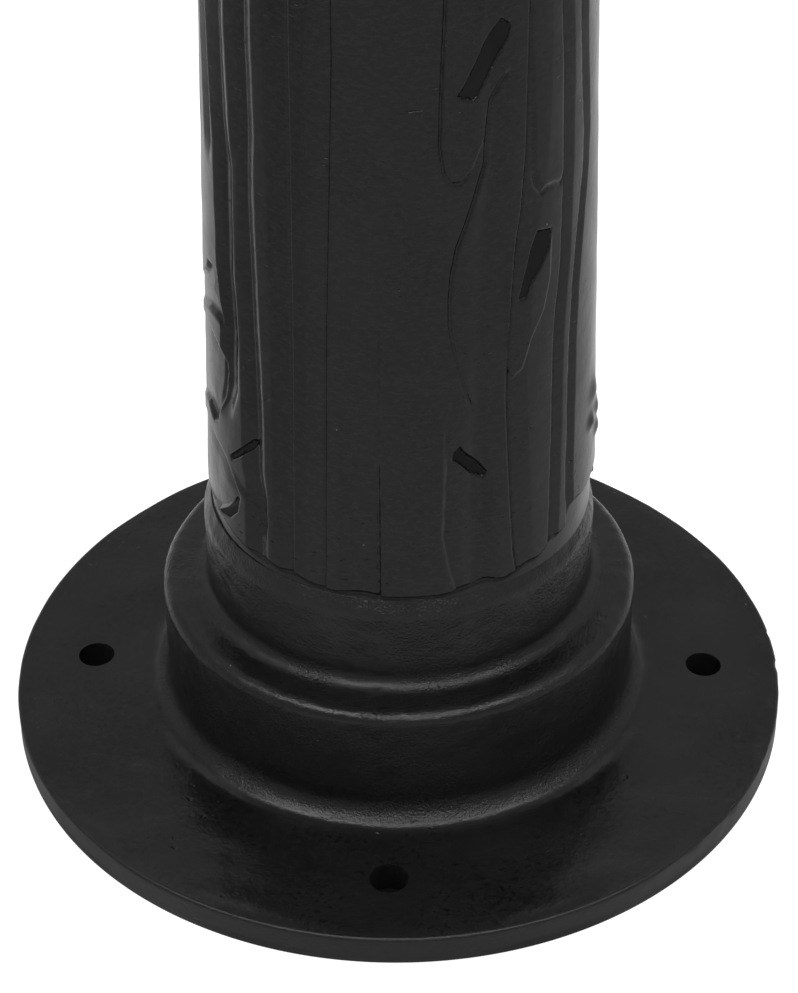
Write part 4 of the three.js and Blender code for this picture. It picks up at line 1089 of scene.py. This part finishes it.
def dial(end):
    corners = [(6, DIAL_BACK, 0.3), (198, DIAL_BACK, 0.5), (198, DIAL_FRONT, 0.8), (6, DIAL_FRONT, 0.4)]
    plate = turned_piece("dial_plate_" + end, corners, 3, FACE_SEGMENTS, 24)
    finished(plate, "dial_white", "dial_" + end, at=on_face(end))
    marks = []
    letters = ("XII", "I", "II", "III", "IIII", "V", "VI", "VII", "VIII", "IX", "X", "XI")
    base = DIAL_FRONT - 0.15
    for hour, name in enumerate(letters):
        turn = clockwise(30 * hour)
        for i, outline in enumerate(numeral(name)):
            mark = bar([(x, y + 121.0) for x, y in outline], base, base + 0.5 + 0.02 * (i % 4))
            marks.append(place(mark, turn))
    for minute in range(60):
        turn = clockwise(6 * minute)
        half = 2.3 if minute % 5 == 0 else 0.8
        marks.append(place(bar(block(-half, 162.5, half, 171.5), base, base + 0.48), turn))
    for low, high in ((161.4, 162.8), (171.2, 172.6), (178.0, 178.8)):
        corners = [(low, base, 0), (high, base, 0), (high, base + 0.55, 0.1), (low, base + 0.55, 0.1)]
        marks.append(turned_piece("track", corners, 2))
    figures = merged("dial_figures_" + end, marks)
    finished(figures, "hand_black", at=on_face(end), finish=DIAL_BLACK)
    corners = [(0, 42.5, 0), (2, 42.5, 0.3), (2, 50.6, 0), (4.5, 50.6, 0.3), (4.5, 51.2, 1.2),
               (2.6, 52.5, 2), (0, 52.6, 0)]
    for i, angle in enumerate((45, 225)):
        screw = slotted_screw("screw", corners, 4, 64, 51.7)
        screw.name = f"slotted_screw_{i + 1}_{end}"
        spot = Vector((math.cos(math.radians(angle)), math.sin(math.radians(angle)), 0)) * 191 * MM
        at = on_face(end) @ Matrix.Translation(spot) @ Matrix.Rotation(0.7 + i, 4, "Z")
        finished(screw, "brass", f"dial_screw_{i + 1}_{end}", at=at)


def hands(end):
    """Spade hands: shafts that swell to a leaf near their tips, with a hub and a weighted tail."""
    minutes = 9.0
    for name, level, length, width, hole, turn in (
        ("hour", 57, 108, 17, 3.4, (10 + minutes / 60) * 30), ("minute", 61.2, 160, 12, 1.8, minutes * 6),
    ):
        half = [(1.2, 1.0), (1.9, 0.93), (3.0, 0.89), (width / 2 * 0.86, 0.83), (width / 2, 0.765),
                (width / 2 * 0.82, 0.69), (3.2, 0.63), (2.4, 0.59), (width * 0.24, 0.35)]
        right = [(x, length * share, 3.0) for x, share in half]
        right += [(width / 3, 6, 0), (width / 3, -6, 0), (width / 2, -31, 4), (width / 2.6, -36, 2)]
        left = [(-x, y, edge) for x, y, edge in reversed(right)]
        blade = bar(rounded(right + left, 6)[::-1], level, level + 1.2, 0.3)
        cut_with(blade, [rod(12, level, level + 1.2, 96, 0.3)], "UNION")
        cut_with(blade, [rod(hole, level - 3, level + 4, 48)], sharp=28)
        blade.name = f"{name}_spade_{end}"
        at = on_face(end) @ clockwise(turn)
        finished(blade, "hand_black", f"{name}_hand_{end}", body=f"{name}_{end}", at=at)
    corners = [(0, 62.7, 0), (4.5, 62.7, 0.3), (4.5, 64.2, 0.8), (3.4, 66.2, 1.4), (0, 66.7, 0)]
    button = turned_piece("hand_button_" + end, corners, 5, 64)
    finished(button, "brass", "hand_cap_" + end, body="minute_" + end, at=on_face(end))


def bezel(end):
    corners = [
        (190.6, 70.3, 0.3), (212, 70.3, 0.8), (212, 82, 2.5), (209.5, 84.2, 1.5), (208.6, 86.5, 1.5),
        (206, 89.6, 2.2), (203, 90, 2.0), (199, 88.2, 4), (192.5, 86.6, 3), (189, 84.2, 2),
        (184, 83, 0.9), (184, 80, 0.6), (190.6, 80, 0.3),
    ]
    ring = turned_piece("bezel_ring", corners, 5, FACE_SEGMENTS, 10)
    web = [(206, 70.3, 0), (214.3, 70.3, 0), (216.2, 72.4, 0), (220, 73, 0), (221, 77.5, 1.5),
           (213, 79, 1.5), (206, 79, 0)]
    web = place(bar(rounded(web, 4), -9.6, 9.6, 0.6), TO_FRONT)
    piece = merged("bezel_casting_" + end, [ring, barrel(-10, 10), web])
    door, here = "bezel_" + end, on_face(end)
    finished(piece, "black_aluminium", door, body=door, at=here, finish=DRUM_PAINT)
    knob_spot = Matrix.Translation((-198 * MM, 0, 89.9 * MM))
    for name, body, slot, node, spot, steps, segments, corners in (
        ("pane_", door, "glass", "glass_", here, 4, FACE_SEGMENTS,
         [(0, 73.8, 0), (190, 73.8, 0.6), (190, 77.8, 0.6), (0, 77.8, 0)]),
        ("gasket_", door, "black_rubber", "glass_gasket_", here, 4, FACE_SEGMENTS,
         [(185, 78.1, 0.4), (190, 78.1, 0.3), (190, 79.7, 0.3), (185, 79.7, 0.6)]),
        ("retainer_", door, "zinc_steel", "glass_ring_", here, 4, FACE_SEGMENTS,
         [(186, 70.7, 0.5), (190, 70.7, 0.3), (190, 73.5, 0.3), (186, 73.5, 0.5)]),
        ("pin_", "clock", "zinc_steel", "hinge_pin_", here @ PIN, 4, 48,
         [(0, -33.3, 0), (2.2, -33.3, 0.6), (2.2, 30.6, 0), (3.8, 30.6, 0.4), (3.6, 32.0, 1), (0, 32.6, 0)]),
        ("knob_", door, "brass", "bezel_knob_", here @ knob_spot, 5, 96,
         [(0, 0, 0), (5.2, 0, 0.3), (4, 1.4, 1.6), (4, 3.6, 1.2), (6.9, 4.6, 1), (7, 7.6, 1.6),
          (5.2, 10.2, 2), (0, 11, 0)]),
    ):
        part = turned_piece(name + end, corners, steps, segments)
        finished(part, slot, node + end, body=body, at=spot)
    low_corner, high_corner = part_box("bezel_catch_" + end)
    size = [(b - a) / MM for a, b in zip(low_corner, high_corner)]
    plan = rounded([(x, y, 1.4) for x, y in block(0, 0, size[0], size[1])], 5)
    catch = bar(plan, 0, size[2], 0.8)
    catch.name = "catch_" + end
    finished(catch, "black_plastic", "bezel_catch_" + end, at=Matrix.Translation(low_corner))


foot()
lower_column()
cap()
upper_post()
middle_ring()
bracket()
finial()
drum()
for face in ENDS:
    dial(face)
    hands(face)
    bezel(face)
for entry in frame["record"]["subparts"]:
    node = frame["nodes"][entry["node"]]
    node.data.materials.clear()
    node.data.materials.append(FINISHES[entry["material_slot"]])


# Floor, backdrop, lamps and camera


def floor():
    """White where the camera looks, with the clock's shadow. Reflections see it dimmer, with painted shade
    to the left and a little to the right; under the foot it is dark, a painted shadow.
    """
    finish = new_finish("studio floor")
    spot = finish.point()
    way = finish.node("ShaderNodeVectorMath", {"operation": "NORMALIZE"}, {0: spot})
    right, back = finish.along("X", way), finish.along("Y", way)
    # Painted shade in what reflections see: much dimmer to the left, a little dimmer to the right.
    shade = finish.between(right, -0.5, -0.9) * finish.between(back, 0.4, 0.1)
    looked_at = finish.ray("Glossy") * finish.between(right, 0.9, 0.5, 0.46, 0.58) * (1.0 - shade * 0.59)
    looked_at = looked_at + finish.ray("Camera") + finish.ray("Transmission")
    length = finish.node("ShaderNodeVectorMath", {"operation": "LENGTH"}, {0: spot}, "Value")
    # Dark under the foot, with no glow: a painted shadow.
    beyond_foot_shadow = finish.between(length, (FOOT_RADIUS - 8) * MM, (FOOT_RADIUS - 3) * MM)
    paint = finish.mix(grey(0.01), grey(0.35), beyond_foot_shadow)
    lit = finish.node("ShaderNodeBsdfDiffuse", None, {"Color": paint})
    glow = {"Color": grey(1.0), "Strength": looked_at * beyond_foot_shadow * 0.85}
    glow = finish.node("ShaderNodeEmission", None, glow)
    both = finish.node("ShaderNodeAddShader", None, {0: lit, 1: glow})
    corners = [(x, y, -0.4) for x, y in block(-30000, -30000, 30000, 30000)]
    piece = mesh_of("floor", corners, [(0, 1, 2, 3)])
    piece.data.materials.append(finish.surface(both))


def backdrop():
    """White where the camera looks, dimmer overhead and for the light that it throws. Gloss also sees
    a bright band overhead at the front, which draws the lines on the shoulder and the fillets."""
    world = bpy.data.worlds.new("studio")
    bpy.context.scene.world = world
    finish = Finish(world)
    spot = finish.node("ShaderNodeTexCoord", result="Generated")
    up, back = finish.along("Z", spot), finish.along("Y", spot)
    room = finish.between(up, 0.3, 0.9, 0.52, 0.38)
    gloss = finish.ray("Glossy")
    straight = finish.ray("Camera") + finish.ray("Transmission") + gloss * 0.1
    band = finish.between(up, 0.7, 0.77) * finish.between(up, 0.9, 0.82)
    band = band * finish.between(back, -0.05, -0.3, 0.06, 1.0)
    strength = room + straight * (1.0 - room) + gloss * band * 12.0
    sky = finish.node("ShaderNodeBackground", None, {"Color": grey(1.0), "Strength": strength})
    finish.node("ShaderNodeOutputWorld", None, {"Surface": sky})


def soft_lamp(name, spot, aim, width, height, power):
    light = bpy.data.lights.new(name, "AREA")
    light.shape = "RECTANGLE"
    light.size, light.size_y = width, height
    light.energy = power
    lamp = bpy.data.objects.new(name, light)
    lamp.location = spot
    lamp.rotation_euler = (Vector((0, 0, aim)) - Vector(spot)).to_track_quat("-Z", "Y").to_euler()
    lamp.visible_glossy = False
    bpy.context.scene.collection.objects.link(lamp)


def camera():
    """At the photograph's viewing angle, framed for a picture 798 by 993."""
    data = bpy.data.cameras.new("camera")
    data.sensor_width = 36
    data.sensor_fit = "AUTO"
    data.lens = 86.066
    data.shift_x = -0.0604
    data.clip_start, data.clip_end = 0.01, 200
    eye = bpy.data.objects.new("camera", data)
    turn = math.radians(6.9)
    spot = Matrix.Rotation(turn, 4, "Z") @ Vector((-61.45, -719.44, 622.98)) * MM
    look = Matrix.Rotation(turn - 0.1165, 4, "Z") @ Matrix.Rotation(math.pi / 2 - 0.6336, 4, "X")
    eye.matrix_world = Matrix.Translation(spot) @ look @ Matrix.Rotation(0.0138, 4, "Z")
    bpy.context.scene.collection.objects.link(eye)
    bpy.context.scene.camera = eye


floor()
backdrop()
soft_lamp("lamp over the front", (0.0, -2.3, 3.1), 0.1, 1.8, 0.8, 55)
soft_lamp("lamp at the left", (-3.2, -0.2, 2.3), 1.2, 1.2, 2.2, 36)
soft_lamp("lamp at the right", (3.2, 0.2, 2.3), 1.2, 1.2, 2.2, 36)
soft_lamp("lamp behind", (0.4, 2.0, 4.4), 1.2, 2.0, 1.0, 36)
camera()
bpy.context.scene.view_settings.view_transform = "Standard"
